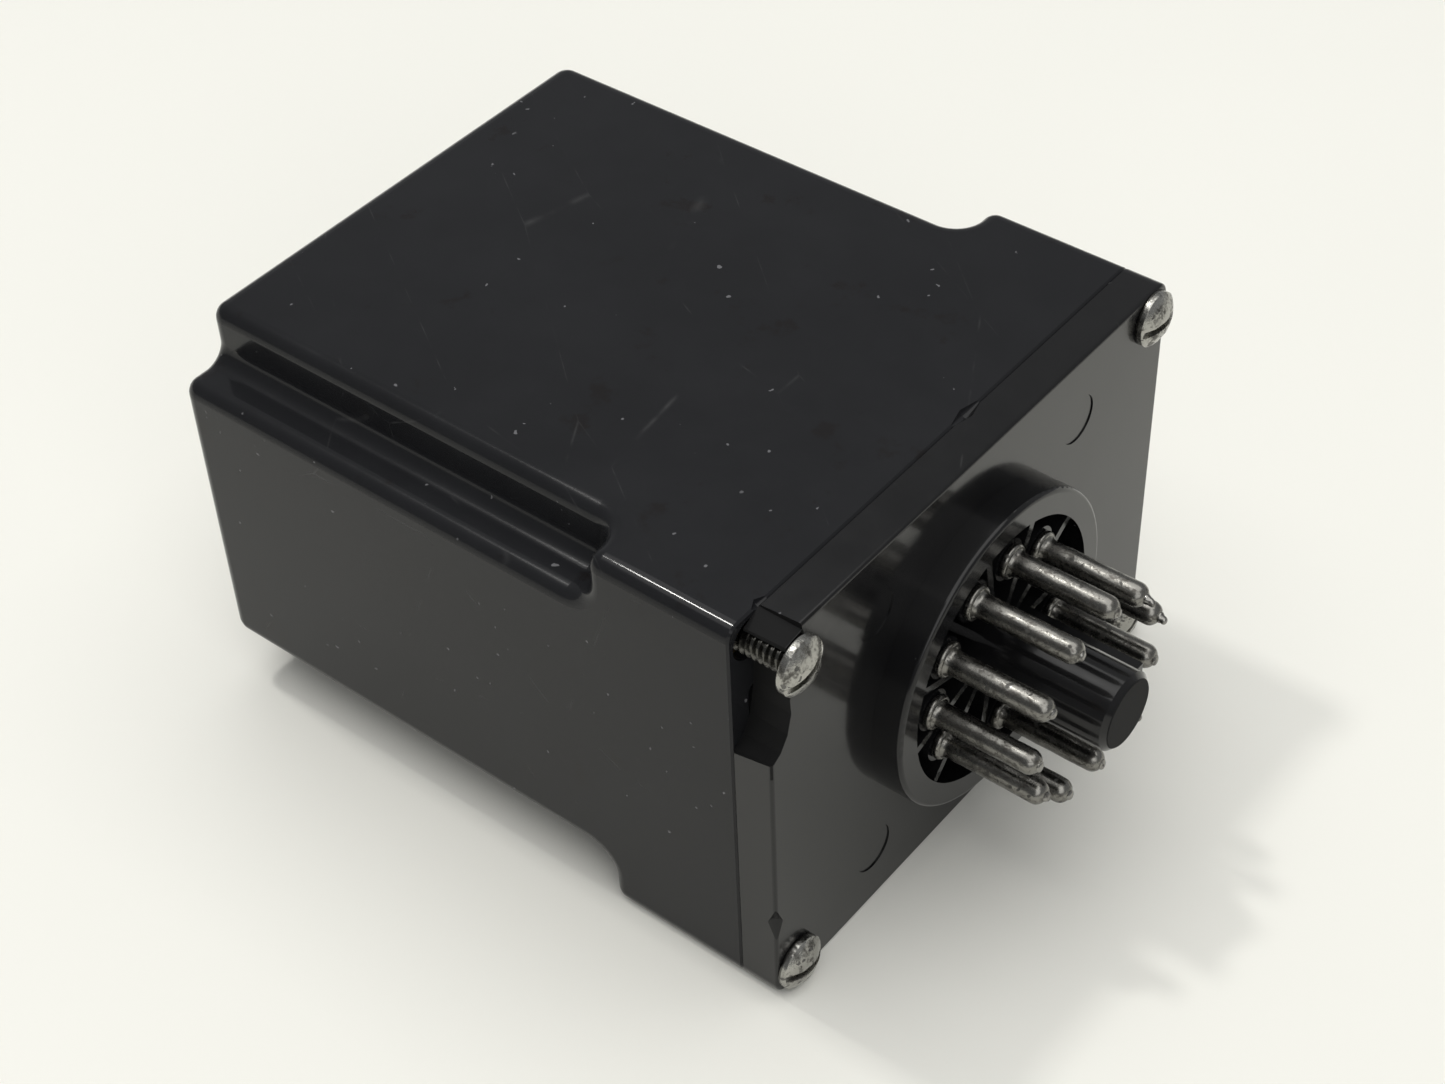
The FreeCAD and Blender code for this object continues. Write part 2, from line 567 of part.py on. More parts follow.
def pan_head(radius, rim, height, slot_angle):
    """A slotted pan head on the plane x = 0."""
    crown = (radius * radius + (height - rim) ** 2) / (2 * (height - rim))
    head = rod(radius, 0.0, height)
    ball = Part.makeSphere(crown, Vector(height - crown, 0, 0))
    head = head.common(ball)
    slot = box((height - SLOT_DEPTH, height + SPARE), (-radius - SPARE, radius + SPARE),
               (-SLOT_WIDTH / 2, SLOT_WIDTH / 2))
    slot.rotate(Vector(0, 0, 0), Vector(1, 0, 0), slot_angle)
    return head.cut(slot)


def cover_screw(place, slot_angle, head_gap):
    """One slotted cover screw, its head on the plate or a gap away from it."""
    screw = turned(thread_profile(0.0, SCREW_LENGTH, SCREW_RADIUS))
    screw = screw.fuse(pan_head(SCREW_HEAD_RADIUS, SCREW_HEAD_RIM, SCREW_HEAD_HEIGHT, slot_angle))
    screw.translate(Vector(head_gap, place[0], place[1]))
    return screw


def corner_insert(place):
    """The threaded brass bush that a cover screw runs into."""
    mouth = -PLATE_THICKNESS
    bush = rod(INSERT_RADIUS - INSERT_SLACK, mouth - INSERT_LENGTH, mouth - INSERT_SETBACK, *place)
    return bush.cut(rod(SCREW_RADIUS + INSERT_FIT, mouth - INSERT_LENGTH - SPARE, mouth + SPARE, *place))


# ---- magnet ----
def yoke():
    """The bent steel frame: heel across the coil's end, long leg beside it, two hinge ears."""
    leg_end = HINGE_X + EAR_HALF_SIZE + EAR_TO_LEG
    heel_cut = (HEEL_BACK - SPARE, -HEEL_FRONT + SPARE)
    heel = box((HEEL_BACK, -HEEL_FRONT), (YOKE_OUTER, HEEL_TOP), (-HEEL_HALF_WIDTH, HEEL_HALF_WIDTH))
    leg = box((leg_end, -HEEL_FRONT), (YOKE_OUTER, YOKE_INNER), (-YOKE_HALF_WIDTH, YOKE_HALF_WIDTH))
    frame = heel.fuse(leg)
    for side in (-1, 1):
        near = side * (KNUCKLE_HALF_WIDTH + KNUCKLE_SIDE_GAP)
        far = near + side * EAR_WIDTH
        limits = (min(near, far), max(near, far))
        arm = box((HINGE_X, leg_end + BITE), (HINGE_Y - SHEET / 2, HINGE_Y + SHEET / 2), limits)
        arm = arm.fuse(rod_z(EAR_HALF_SIZE, limits[0], limits[1], HINGE_X, HINGE_Y))
        frame = frame.fuse(arm)
        notch_in = side * (TERMINAL_Z - TERMINAL_NOTCH)
        notch_out = side * (HEEL_HALF_WIDTH + SPARE)
        frame = frame.cut(box(heel_cut, (COIL_Y - TERMINAL_NOTCH, COIL_Y + TERMINAL_NOTCH),
                              (min(notch_in, notch_out), max(notch_in, notch_out))))
        frame = frame.cut(rod(MOUNT_SCREW_RADIUS + PILE_SCREW_GAP, *heel_cut,
                              MOUNT_SCREW_Y, side * MOUNT_SCREW_Z))
        frame = frame.cut(rod_y(PILE_SCREW_RADIUS, YOKE_OUTER - SPARE, YOKE_INNER + SPARE,
                                *pile_screw_place(side)))
    frame = frame.cut(rod(CORE_TENON_RADIUS, *heel_cut, COIL_Y))
    frame = frame.cut(rod_z(HINGE_PIN_RADIUS, -HEEL_HALF_WIDTH, HEEL_HALF_WIDTH, HINGE_X, HINGE_Y))
    return frame.removeSplitter()


def core():
    """The soft-iron core, staked into the heel, with its pole shoe."""
    stake = -HEEL_FRONT + CORE_STAKE_HEIGHT
    return turned([(stake, 0.0), (stake, CORE_STAKE_RADIUS - CORE_STAKE_CHAMFER),
                   (stake - CORE_STAKE_CHAMFER, CORE_STAKE_RADIUS), (-HEEL_FRONT, CORE_STAKE_RADIUS),
                   (-HEEL_FRONT, CORE_TENON_RADIUS), (HEEL_BACK, CORE_TENON_RADIUS), (HEEL_BACK, CORE_RADIUS),
                   (POLE_FACE + POLE_THICKNESS, CORE_RADIUS), (POLE_FACE + POLE_THICKNESS, POLE_RADIUS),
                   (POLE_FACE, POLE_RADIUS), (POLE_FACE, 0.0)], COIL_Y)


def bobbin():
    """The moulded spool with two seats for the coil's terminals."""
    front = HEEL_BACK
    back = HEEL_BACK - COIL_SPACE + BOBBIN_CLEARANCE
    spool = rod(BOBBIN_TUBE_RADIUS, back, front, COIL_Y)
    spool = spool.fuse(rod(BOBBIN_FLANGE_RADIUS, back, back + BOBBIN_FLANGE, COIL_Y))
    spool = spool.fuse(rod(BOBBIN_FLANGE_RADIUS, front - BOBBIN_FLANGE, front, COIL_Y))
    spool = spool.cut(rod(CORE_RADIUS + BOBBIN_CLEARANCE, back - SPARE, front + SPARE, COIL_Y))
    for side in (-1, 1):
        spool = spool.cut(rod(TERMINAL_RADIUS, front - BOBBIN_FLANGE - SPARE, front + SPARE,
                              COIL_Y, side * TERMINAL_Z))
    return spool


def winding():
    """The coil of enamelled wire, as one ring."""
    back = HEEL_BACK - COIL_SPACE + BOBBIN_CLEARANCE + BOBBIN_FLANGE
    front = HEEL_BACK - BOBBIN_FLANGE
    ring = rod(WINDING_RADIUS - TAPE_THICKNESS, back, front, COIL_Y)
    return ring.cut(rod(BOBBIN_TUBE_RADIUS, back - SPARE, front + SPARE, COIL_Y))


def coil_tape():
    """The wrap over the winding."""
    back = HEEL_BACK - COIL_SPACE + BOBBIN_CLEARANCE + BOBBIN_FLANGE
    front = HEEL_BACK - BOBBIN_FLANGE
    ring = rod(WINDING_RADIUS, back, front, COIL_Y)
    return ring.cut(rod(WINDING_RADIUS - TAPE_THICKNESS, back - SPARE, front + SPARE, COIL_Y))


def coil_terminals():
    """Two solder posts in the bobbin's front flange."""
    tip = -HEEL_FRONT + TERMINAL_REACH
    return [rod(TERMINAL_RADIUS, HEEL_BACK - BOBBIN_FLANGE, tip, COIL_Y, side * TERMINAL_Z)
            for side in (-1, 1)]


def opened(shape):
    """Swings a piece drawn at the closed armature back to the open rest position."""
    shape.rotate(Vector(HINGE_X, HINGE_Y, 0), Vector(0, 0, 1), ARMATURE_TRAVEL)
    return shape


def armature():
    """The hinged steel plate over the pole with its leg beside the yoke."""
    closed_face = POLE_FACE - POLE_RESIDUAL
    half = KNUCKLE_HALF_WIDTH
    leg_top = YOKE_OUTER - LEG_OFFSET
    leg_end = FINGER_X + CARD_LENGTH / 2
    plate = box((closed_face - SHEET, closed_face), (HINGE_Y, ARMATURE_REACH), (-half, half))
    knuckle = rod_z(EAR_HALF_SIZE, -half, half, HINGE_X, HINGE_Y)
    web = box((HINGE_X - EAR_HALF_SIZE, HINGE_X + HINGE_PIN_RADIUS), (leg_top - LEG_THICKNESS, HINGE_Y),
              (-LEG_HALF_WIDTH, LEG_HALF_WIDTH))
    leg = box((HINGE_X - EAR_HALF_SIZE, leg_end), (leg_top - LEG_THICKNESS, leg_top),
              (-LEG_HALF_WIDTH, LEG_HALF_WIDTH))
    blade = plate.fuse(knuckle).fuse(web).fuse(leg)
    blade = blade.cut(rod_z(HINGE_PIN_RADIUS + HINGE_CLEARANCE, -half - SPARE, half + SPARE,
                            HINGE_X, HINGE_Y))
    for side in (-1, 1):
        blade = blade.cut(rod_y(CARD_RIVET_RADIUS, leg_top - LEG_THICKNESS - SPARE, leg_top + SPARE,
                                FINGER_X, side * CARD_RIVET_Z))
    return opened(blade.removeSplitter())


def hinge_pin():
    """The armature's pin, headed at both ends outside the ears."""
    ears = KNUCKLE_HALF_WIDTH + KNUCKLE_SIDE_GAP + EAR_WIDTH
    pin = rod_z(HINGE_PIN_RADIUS, -ears - HINGE_HEAD, ears + HINGE_HEAD, HINGE_X, HINGE_Y)
    for low in (-ears - HINGE_HEAD, ears):
        pin = pin.fuse(rod_z(HINGE_HEAD_RADIUS, low, low + HINGE_HEAD, HINGE_X, HINGE_Y))
    return pin


def lifting_card():
    """The insulating comb on the armature's leg: two fingers reach each moving blade."""
    top = YOKE_OUTER - LEG_OFFSET - LEG_THICKNESS
    half = CARD_LENGTH / 2
    card = box((FINGER_X - half, FINGER_X + half), (top - CARD_BASE, top),
               (-CARD_HALF_WIDTH, CARD_HALF_WIDTH))
    finger_end = MOVING_BLADE_Y - LIFT + FINGER_GAP
    inner = MOVING_BLADE_HALF_WIDTH - FINGER_INSET - FINGER_WIDTH
    for row in POLE_ROWS:
        for low in (row + inner, row - inner - FINGER_WIDTH):
            card = card.fuse(box((FINGER_X - FINGER_LENGTH / 2, FINGER_X + FINGER_LENGTH / 2),
                                 (finger_end, top - CARD_BASE / 2), (low, low + FINGER_WIDTH)))
    for side in (-1, 1):
        card = card.cut(rod_y(CARD_RIVET_RADIUS, top - CARD_BASE - SPARE, top + SPARE,
                              FINGER_X, side * CARD_RIVET_Z))
    return opened(card.removeSplitter())


def card_rivet(side):
    """A rivet through the armature's leg and the card, flush on the card's side."""
    leg_top = YOKE_OUTER - LEG_OFFSET
    z = side * CARD_RIVET_Z
    rivet = rod_y(CARD_RIVET_RADIUS, leg_top - LEG_THICKNESS - CARD_BASE, leg_top, FINGER_X, z)
    rivet = rivet.fuse(rod_y(CARD_RIVET_HEAD_RADIUS, leg_top, leg_top + CARD_RIVET_HEAD, FINGER_X, z))
    return opened(rivet.removeSplitter())


# ---- contact pile ----
def pile_screw_place(side):
    """The (x, z) place of a pile screw, between two poles."""
    return -PILE_FRONT - PILE_LENGTH / 2, side * POLE_PITCH / 2


def pile_screw(side):
    """A screw that clamps the pile to the yoke."""
    x, z = pile_screw_place(side)
    clamp_face = CLAMP_Y - CLAMP_PLATE
    head_face = clamp_face - PILE_SCREW_HEAD
    screw = rod_y(PILE_SCREW_RADIUS - INNER_SCREW_SLACK, clamp_face, YOKE_INNER, x, z)
    head = rod_y(PILE_SCREW_HEAD_RADIUS, head_face, clamp_face, x, z)
    slot = box((x - PILE_SCREW_HEAD_RADIUS, x + PILE_SCREW_HEAD_RADIUS),
               (head_face, head_face + INNER_SLOT_DEPTH), (z - SLOT_WIDTH / 2, z + SLOT_WIDTH / 2))
    return screw.fuse(head.cut(slot)).removeSplitter()


def pile_layer(y_high, thickness):
    """A full-width layer of the pile with its two screw holes."""
    layer = box((PIVOT_X, -PILE_FRONT), (y_high - thickness, y_high), (-PILE_HALF_WIDTH, PILE_HALF_WIDTH))
    for side in (-1, 1):
        layer = layer.cut(rod_y(PILE_SCREW_RADIUS + PILE_SCREW_GAP, y_high - thickness - SPARE,
                                y_high + SPARE, *pile_screw_place(side)))
    return layer


def blade_strip(row, y_high, thickness, half_width, x_low):
    """A contact blade with a narrower solder tail in front of the pile."""
    in_pile = min(half_width, POLE_PITCH / 2 - PILE_SCREW_RADIUS - PILE_SCREW_GAP - BLADE_TO_SCREW)
    strip = box((PIVOT_X, -PILE_FRONT), (y_high - thickness, y_high), (row - in_pile, row + in_pile))
    strip = strip.fuse(box((-PILE_FRONT - BITE, -TAIL_FRONT), (y_high - thickness, y_high),
                           (row - TAIL_HALF_WIDTH, row + TAIL_HALF_WIDTH)))
    if x_low < PIVOT_X:
        strip = strip.fuse(box((x_low, PIVOT_X), (y_high - thickness, y_high),
                               (row - half_width, row + half_width)))
    return strip.removeSplitter()


def fixed_blade(row, y_high, half_width):
    """A fixed contact blade, with the hole its contact is riveted in."""
    strip = blade_strip(row, y_high, FIXED_BLADE, half_width, CONTACT_X - BLADE_OVERHANG)
    return strip.cut(rod_y(CONTACT_RADIUS / 2, y_high - FIXED_BLADE - SPARE, y_high + SPARE, CONTACT_X, row))


def fixed_contact(row, blade_y, towards, height):
    """A contact rivet in a fixed blade, with its head on the side of the moving blade."""
    shank = rod_y(CONTACT_RADIUS / 2, blade_y - FIXED_BLADE, blade_y, CONTACT_X, row)
    if towards < 0:
        head = rod_y(CONTACT_RADIUS, blade_y - FIXED_BLADE - height, blade_y - FIXED_BLADE, CONTACT_X, row)
    else:
        head = rod_y(CONTACT_RADIUS, blade_y, blade_y + height, CONTACT_X, row)
    return shank.fuse(head)


def moving_blade(row):
    """The free length of a moving blade. It starts at the pile with a round edge, its pivot."""
    half = MOVING_BLADE / 2
    strip = box((CONTACT_X - BLADE_OVERHANG, PIVOT_X - half), (MOVING_BLADE_Y - MOVING_BLADE, MOVING_BLADE_Y),
                (row - MOVING_BLADE_HALF_WIDTH, row + MOVING_BLADE_HALF_WIDTH))
    strip = strip.fuse(rod_z(half, row - MOVING_BLADE_HALF_WIDTH, row + MOVING_BLADE_HALF_WIDTH,
                             PIVOT_X - half, MOVING_BLADE_Y - half))
    return strip.cut(rod_y(CONTACT_RADIUS / 2, MOVING_BLADE_Y - MOVING_BLADE - SPARE, MOVING_BLADE_Y + SPARE,
                           CONTACT_X, row))


def moving_contact(row):
    """The double-headed contact of a moving blade."""
    shank = rod_y(CONTACT_RADIUS / 2, MOVING_BLADE_Y - MOVING_BLADE, MOVING_BLADE_Y, CONTACT_X, row)
    closed_face = CLOSED_BLADE_Y - FIXED_BLADE - CLOSED_CONTACT_HEIGHT
    inner = rod_y(CONTACT_RADIUS, MOVING_BLADE_Y, closed_face, CONTACT_X, row)
    outer_end = MOVING_BLADE_Y - MOVING_BLADE
    outer = rod_y(CONTACT_RADIUS, outer_end - MOVING_OUTER_CONTACT_HEIGHT, outer_end, CONTACT_X, row)
    return shank.fuse(inner).fuse(outer)


def mount_screw(side):
    """A screw that holds the heel on a column of the base plate."""
    y = MOUNT_SCREW_Y
    z = side * MOUNT_SCREW_Z
    head_face = HEEL_BACK - MOUNT_SCREW_HEAD
    screw = rod(MOUNT_SCREW_RADIUS - INNER_SCREW_SLACK, HEEL_BACK, HEEL_BACK + MOUNT_SCREW_LENGTH, y, z)
    head = rod(MOUNT_SCREW_HEAD_RADIUS, head_face, HEEL_BACK, y, z)
    slot = box((head_face, head_face + INNER_SLOT_DEPTH),
               (y - MOUNT_SCREW_HEAD_RADIUS, y + MOUNT_SCREW_HEAD_RADIUS),
               (z - SLOT_WIDTH / 2, z + SLOT_WIDTH / 2))
    return screw.fuse(head.cut(slot)).removeSplitter()


# ---- lead wires ----
def bent_wire(points, radius, bend):
    """A round wire along straight runs joined by tangent arcs."""
    corners = [Vector(*p) for p in points]
    edges = []
    start = corners[0]
    for before, corner, after in zip(corners, corners[1:], corners[2:]):
        into = (corner - before).normalize()
        out = (after - corner).normalize()
        turn = into.getAngle(out)
        room = min((corner - before).Length, (after - corner).Length) * BEND_SHARE
        size = min(bend, room / math.tan(turn / 2))
        reach = size * math.tan(turn / 2)
        first = corner - into * reach
        last = corner + out * reach
        bisector = (out - into).normalize()
        middle = corner + bisector * (size / math.cos(turn / 2) - size)
        edges.append(Part.LineSegment(start, first).toShape())
        edges.append(Part.Arc(first, middle, last).toShape())
        start = last
    edges.append(Part.LineSegment(start, corners[-1]).toShape())
    path = Part.Wire(edges)
    heading = (corners[1] - corners[0]).normalize()
    section = Part.Wire(Part.makeCircle(radius, corners[0], heading))
    return path.makePipeShell([section], True, False)


def lead_wire(number, end, turns, detour=None):
    """A lead from inside a pin to its end, turning behind the pin and again in front of the end.

    A detour is one more point on the way, where the lead goes round another one.
    """
    y, z = pin_place(number)
    way = [detour] if detour else []
    turn_in = (end[0] + turns[1], end[1], end[2])
    points = [(PIN_BACK + WIRE_INTO_PIN, y, z), (PIN_BACK - turns[0], y, z)] + way + [turn_in, end]
    return bent_wire(points, WIRE_RADIUS, BEND_RADIUS)


def tail_end(row, y_high, thickness):
    """The middle of a solder tail's front end."""
    return (-TAIL_FRONT, y_high - thickness / 2, row)


def pole_leads(index):
    """The three leads of one pole."""
    common, opening, closing = POLE_PINS[index]
    row = POLE_ROWS[index]
    common_turns = (COMMON_TURNS[0], COMMON_TURNS[1] + COMMON_TURN_GAIN * PILE_RISE)
    closed_turns = (CLOSED_TURNS[0], CLOSED_TURNS[1] + CLOSED_TURN_GAIN * PILE_RISE)
    detour = None
    if row != 0:
        detour = (OPEN_DETOUR_X, OPEN_DETOUR_Y, math.copysign(OPEN_DETOUR_Z, row))
    return [lead_wire(common, tail_end(row, MOVING_BLADE_Y, MOVING_BLADE), common_turns),
            lead_wire(opening, tail_end(row, OPEN_BLADE_Y, FIXED_BLADE), OPEN_TURNS, detour),
            lead_wire(closing, tail_end(row, CLOSED_BLADE_Y, FIXED_BLADE), closed_turns)]


def coil_leads():
    """The coil's two leads."""
    tip = -HEEL_FRONT + TERMINAL_REACH
    return [lead_wire(pin, (tip, COIL_Y, side * TERMINAL_Z), COIL_TURNS)
            for pin, side in zip(COIL_PINS, (-1, 1))]


# ---- the relay ----
def build():
    """Every node of the relay by name."""
    nodes = {
        "housing": housing(),
        "base_plate": base_plate(),
        "nameplate": nameplate(),
    }
    for number in range(1, PIN_COUNT + 1):
        nodes["pin_%d" % number] = contact_pin(number)
    nodes["solder_tips"] = group([solder_tip(number) for number in range(1, PIN_COUNT + 1)])
    corner_screws = zip(screw_places(), SLOT_ANGLES, HEAD_GAPS)
    nodes["cover_screws"] = group([cover_screw(*screw) for screw in corner_screws])
    nodes["corner_inserts"] = group([corner_insert(p) for p in screw_places()])
    nodes["yoke"] = yoke()
    nodes["core"] = core()
    nodes["bobbin"] = bobbin()
    nodes["winding"] = winding()
    nodes["coil_tape"] = coil_tape()
    nodes["coil_terminals"] = group(coil_terminals())
    nodes["mount_screws"] = group([mount_screw(side) for side in (-1, 1)])
    nodes["armature"] = armature()
    nodes["hinge_pin"] = hinge_pin()
    nodes["lifting_card"] = lifting_card()
    nodes["card_rivets"] = group([card_rivet(side) for side in (-1, 1)])
    nodes["inner_spacer"] = pile_layer(YOKE_OUTER, INNER_SPACER)
    for name, top in (("closed_side_spacer", CLOSED_BLADE_Y - FIXED_BLADE),
                      ("open_side_spacer", MOVING_BLADE_Y - MOVING_BLADE)):
        nodes[name] = pile_layer(top, BLADE_SPACER)
    nodes["outer_spacer"] = pile_layer(OPEN_BLADE_Y - FIXED_BLADE, OUTER_SPACER)
    nodes["clamp_plate"] = pile_layer(CLAMP_Y, CLAMP_PLATE)
    nodes["pile_screws"] = group([pile_screw(side) for side in (-1, 1)])
    closed_contacts = []
    open_contacts = []
    for index, row in enumerate(POLE_ROWS):
        pole = index + 1
        nodes["closed_blade_%d" % pole] = fixed_blade(row, CLOSED_BLADE_Y, CLOSED_BLADE_HALF_WIDTH)
        nodes["common_blade_%d" % pole] = blade_strip(row, MOVING_BLADE_Y, MOVING_BLADE,
                                                      MOVING_BLADE_HALF_WIDTH, PIVOT_X)
        nodes["open_blade_%d" % pole] = fixed_blade(row, OPEN_BLADE_Y, OPEN_BLADE_HALF_WIDTH)
        nodes["moving_blade_%d" % pole] = moving_blade(row)
        nodes["moving_contact_%d" % pole] = moving_contact(row)
        nodes["pole_%d_leads" % pole] = group(pole_leads(index))
        closed_contacts.append(fixed_contact(row, CLOSED_BLADE_Y, -1, CLOSED_CONTACT_HEIGHT))
        open_contacts.append(fixed_contact(row, OPEN_BLADE_Y, 1, OPEN_CONTACT_HEIGHT))
    nodes["closed_contacts"] = group(closed_contacts)
    nodes["open_contacts"] = group(open_contacts)
    nodes["coil_leads"] = group(coil_leads())
    return nodes


def group(solids):
    """Several identical pieces as one node."""
    return Part.makeCompound(solids)


os.makedirs("parts", exist_ok=True)
for node_name, node_shape in build().items():
    node_shape.translate(Vector(-BOSS_HEIGHT, 0, 0))
    node_shape.exportStep("parts/%s.step" % node_name)
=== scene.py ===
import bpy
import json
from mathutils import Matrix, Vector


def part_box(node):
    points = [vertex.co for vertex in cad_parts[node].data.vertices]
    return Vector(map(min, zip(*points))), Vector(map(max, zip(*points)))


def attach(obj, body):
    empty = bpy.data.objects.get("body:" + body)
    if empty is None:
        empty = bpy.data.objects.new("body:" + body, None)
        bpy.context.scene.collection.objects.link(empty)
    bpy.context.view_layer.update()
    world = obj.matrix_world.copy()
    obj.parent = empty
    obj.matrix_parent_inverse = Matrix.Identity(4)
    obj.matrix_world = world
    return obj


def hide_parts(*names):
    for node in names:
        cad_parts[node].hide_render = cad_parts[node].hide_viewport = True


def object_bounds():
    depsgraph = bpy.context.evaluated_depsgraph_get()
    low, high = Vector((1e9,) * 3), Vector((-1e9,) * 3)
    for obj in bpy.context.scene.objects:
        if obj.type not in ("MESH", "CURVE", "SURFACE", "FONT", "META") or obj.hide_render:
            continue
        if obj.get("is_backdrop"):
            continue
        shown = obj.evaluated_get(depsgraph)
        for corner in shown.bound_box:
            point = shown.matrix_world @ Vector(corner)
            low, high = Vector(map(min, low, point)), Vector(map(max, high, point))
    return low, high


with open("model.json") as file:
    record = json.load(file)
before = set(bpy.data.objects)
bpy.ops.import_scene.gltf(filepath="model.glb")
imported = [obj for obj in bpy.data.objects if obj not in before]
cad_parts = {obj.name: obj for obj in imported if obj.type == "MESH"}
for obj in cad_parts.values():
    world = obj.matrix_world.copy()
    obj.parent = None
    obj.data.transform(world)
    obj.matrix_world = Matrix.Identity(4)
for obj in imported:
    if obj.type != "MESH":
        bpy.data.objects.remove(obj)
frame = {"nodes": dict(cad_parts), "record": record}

"""The looks of a plug-in relay: finishes for every piece, detailed pins, solder and screws,
a pale floor, soft light and a camera. Lengths are in metres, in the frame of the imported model."""

import json
import logging
import math
import random
from dataclasses import dataclass
from enum import Enum

import bmesh
import bpy
from mathutils import Euler, Matrix, Vector, noise

MM = 0.001
PIN_COUNT = 11
COLLAR_DROP = 0.1 * MM
PLATE_THICKNESS = 4.2 * MM
POST_END_PLANE = 13.2 * MM
BREAK_HEIGHT = 15.0 * MM
BREAK_DEPTH = 7.0 * MM
DULL_ROUGHNESS = 0.75
DULL_SHADE = 0.6
# How far past the plate's front face painted shade darkens a cover screw: its thread and the foot
# of its head.
SCREW_PAINTED_SHADE_DEPTH = 0.25 * MM
COLLAR_FLARE_MM = ((0.05, 0.2), (0.14, 0.11), (0.3, 0.045), (0.45, 0.015))
LONG_BEAD_MM = 0.5
RIM_ANGLE = 38.0
BODY = "case"
log = logging.getLogger("relay")

Colour = tuple[float, float, float]
Place = tuple[float, float, float]
Profile = list[tuple[float, float]]


class Slot(Enum):
    """The record's material slots."""

    HOUSING = "housing_plastic"
    BASE = "base_plastic"
    NAMEPLATE = "nameplate"
    PIN = "tinned_pin"
    TINNED = "tinned"
    SOLDER = "solder"
    COVER_SCREW = "cover_screw"
    SCREW_STEEL = "screw_steel"
    MAGNET_STEEL = "magnet_steel"
    BRASS = "brass"
    COPPER_WIRE = "copper_wire"
    COIL_TAPE = "coil_tape"
    BOBBIN = "bobbin_plastic"
    CARD = "card_plastic"
    SPACER = "spacer_plastic"
    BLADE = "blade_bronze"
    CONTACT = "contact_silver"
    LEAD_RED = "lead_red"
    LEAD_YELLOW = "lead_yellow"
    LEAD_WHITE = "lead_white"
    LEAD_BLUE = "lead_blue"


# ---------------------------------------------------------------- shader graphs


class Graph:
    """A node tree that is filled by short calls.

    Args:
        tree: The tree to fill. It is emptied first.
    """

    def __init__(self, tree: bpy.types.NodeTree) -> None:
        self.tree = tree
        self.tree.nodes.clear()
        self.column = 0

    def add(self, kind: str, inputs: dict | None = None, **settings) -> bpy.types.Node:
        """Adds a node.

        Args:
            kind: The node's type.
            inputs: Socket name or number to a constant or an output socket.
            settings: Properties of the node.

        Returns:
            The new node.
        """
        node = self.tree.nodes.new(kind)
        node.location = (self.column * 190, -(self.column % 5) * 160)
        self.column += 1
        for name, value in settings.items():
            setattr(node, name, value)
        for key, value in (inputs or {}).items():
            if isinstance(value, bpy.types.NodeSocket):
                self.tree.links.new(value, node.inputs[key])
            else:
                node.inputs[key].default_value = value
        return node

    def math(self, operation: str, first, second=0.0) -> bpy.types.NodeSocket:
        """Adds a math node, which does not clamp, and returns its value."""
        return self.add("ShaderNodeMath", {0: first, 1: second}, operation=operation).outputs[0]

    def scaled(self, vector, scale: Place) -> bpy.types.NodeSocket:
        """Returns a vector multiplied by a constant one."""
        node = self.add("ShaderNodeVectorMath", {0: vector, 1: scale}, operation="MULTIPLY")
        return node.outputs[0]

    def noise(self, vector, scale, detail: float = 3.0, roughness: float = 0.5,
              distortion: float = 0.0) -> bpy.types.NodeSocket:
        """Returns the value of a noise texture."""
        node = self.add("ShaderNodeTexNoise", {"Vector": vector, "Scale": scale, "Detail": detail,
                                               "Roughness": roughness, "Distortion": distortion})
        return node.outputs["Fac"]

    def ramp(self, value, start, end, low: float = 0.0, high: float = 1.0) -> bpy.types.NodeSocket:
        """Returns a value mapped smoothly from start..end to low..high, and held beyond."""
        node = self.add("ShaderNodeMapRange", {0: value, 1: start, 2: end, 3: low, 4: high},
                        interpolation_type="SMOOTHSTEP")
        return node.outputs[0]

    def inside(self, vector, low: Place, high: Place) -> bpy.types.NodeSocket:
        """Returns 1 where a place lies inside a box and 0 outside it."""
        centre = tuple((a + b) / 2 for a, b in zip(low, high))
        half = tuple((b - a) / 2 for a, b in zip(low, high))
        away = self.add("ShaderNodeVectorMath", {0: vector, 1: centre}, operation="SUBTRACT")
        reach = self.add("ShaderNodeVectorMath", {0: away.outputs[0]}, operation="ABSOLUTE")
        split = self.add("ShaderNodeSeparateXYZ", {0: reach.outputs[0]})
        both = self.math("MULTIPLY", self.math("LESS_THAN", split.outputs[0], half[0]),
                         self.math("LESS_THAN", split.outputs[1], half[1]))
        return self.math("MULTIPLY", both, self.math("LESS_THAN", split.outputs[2], half[2]))

    def mix(self, factor, first, second) -> bpy.types.NodeSocket:
        """Returns two colours mixed by a factor."""
        node = self.add("ShaderNodeMix", {0: factor, 6: rgba(first), 7: rgba(second)},
                        data_type="RGBA")
        return node.outputs[2]


def rgba(colour):
    """Returns a colour with alpha, or an output socket as it is."""
    if isinstance(colour, bpy.types.NodeSocket):
        return colour
    return (*colour, 1.0)


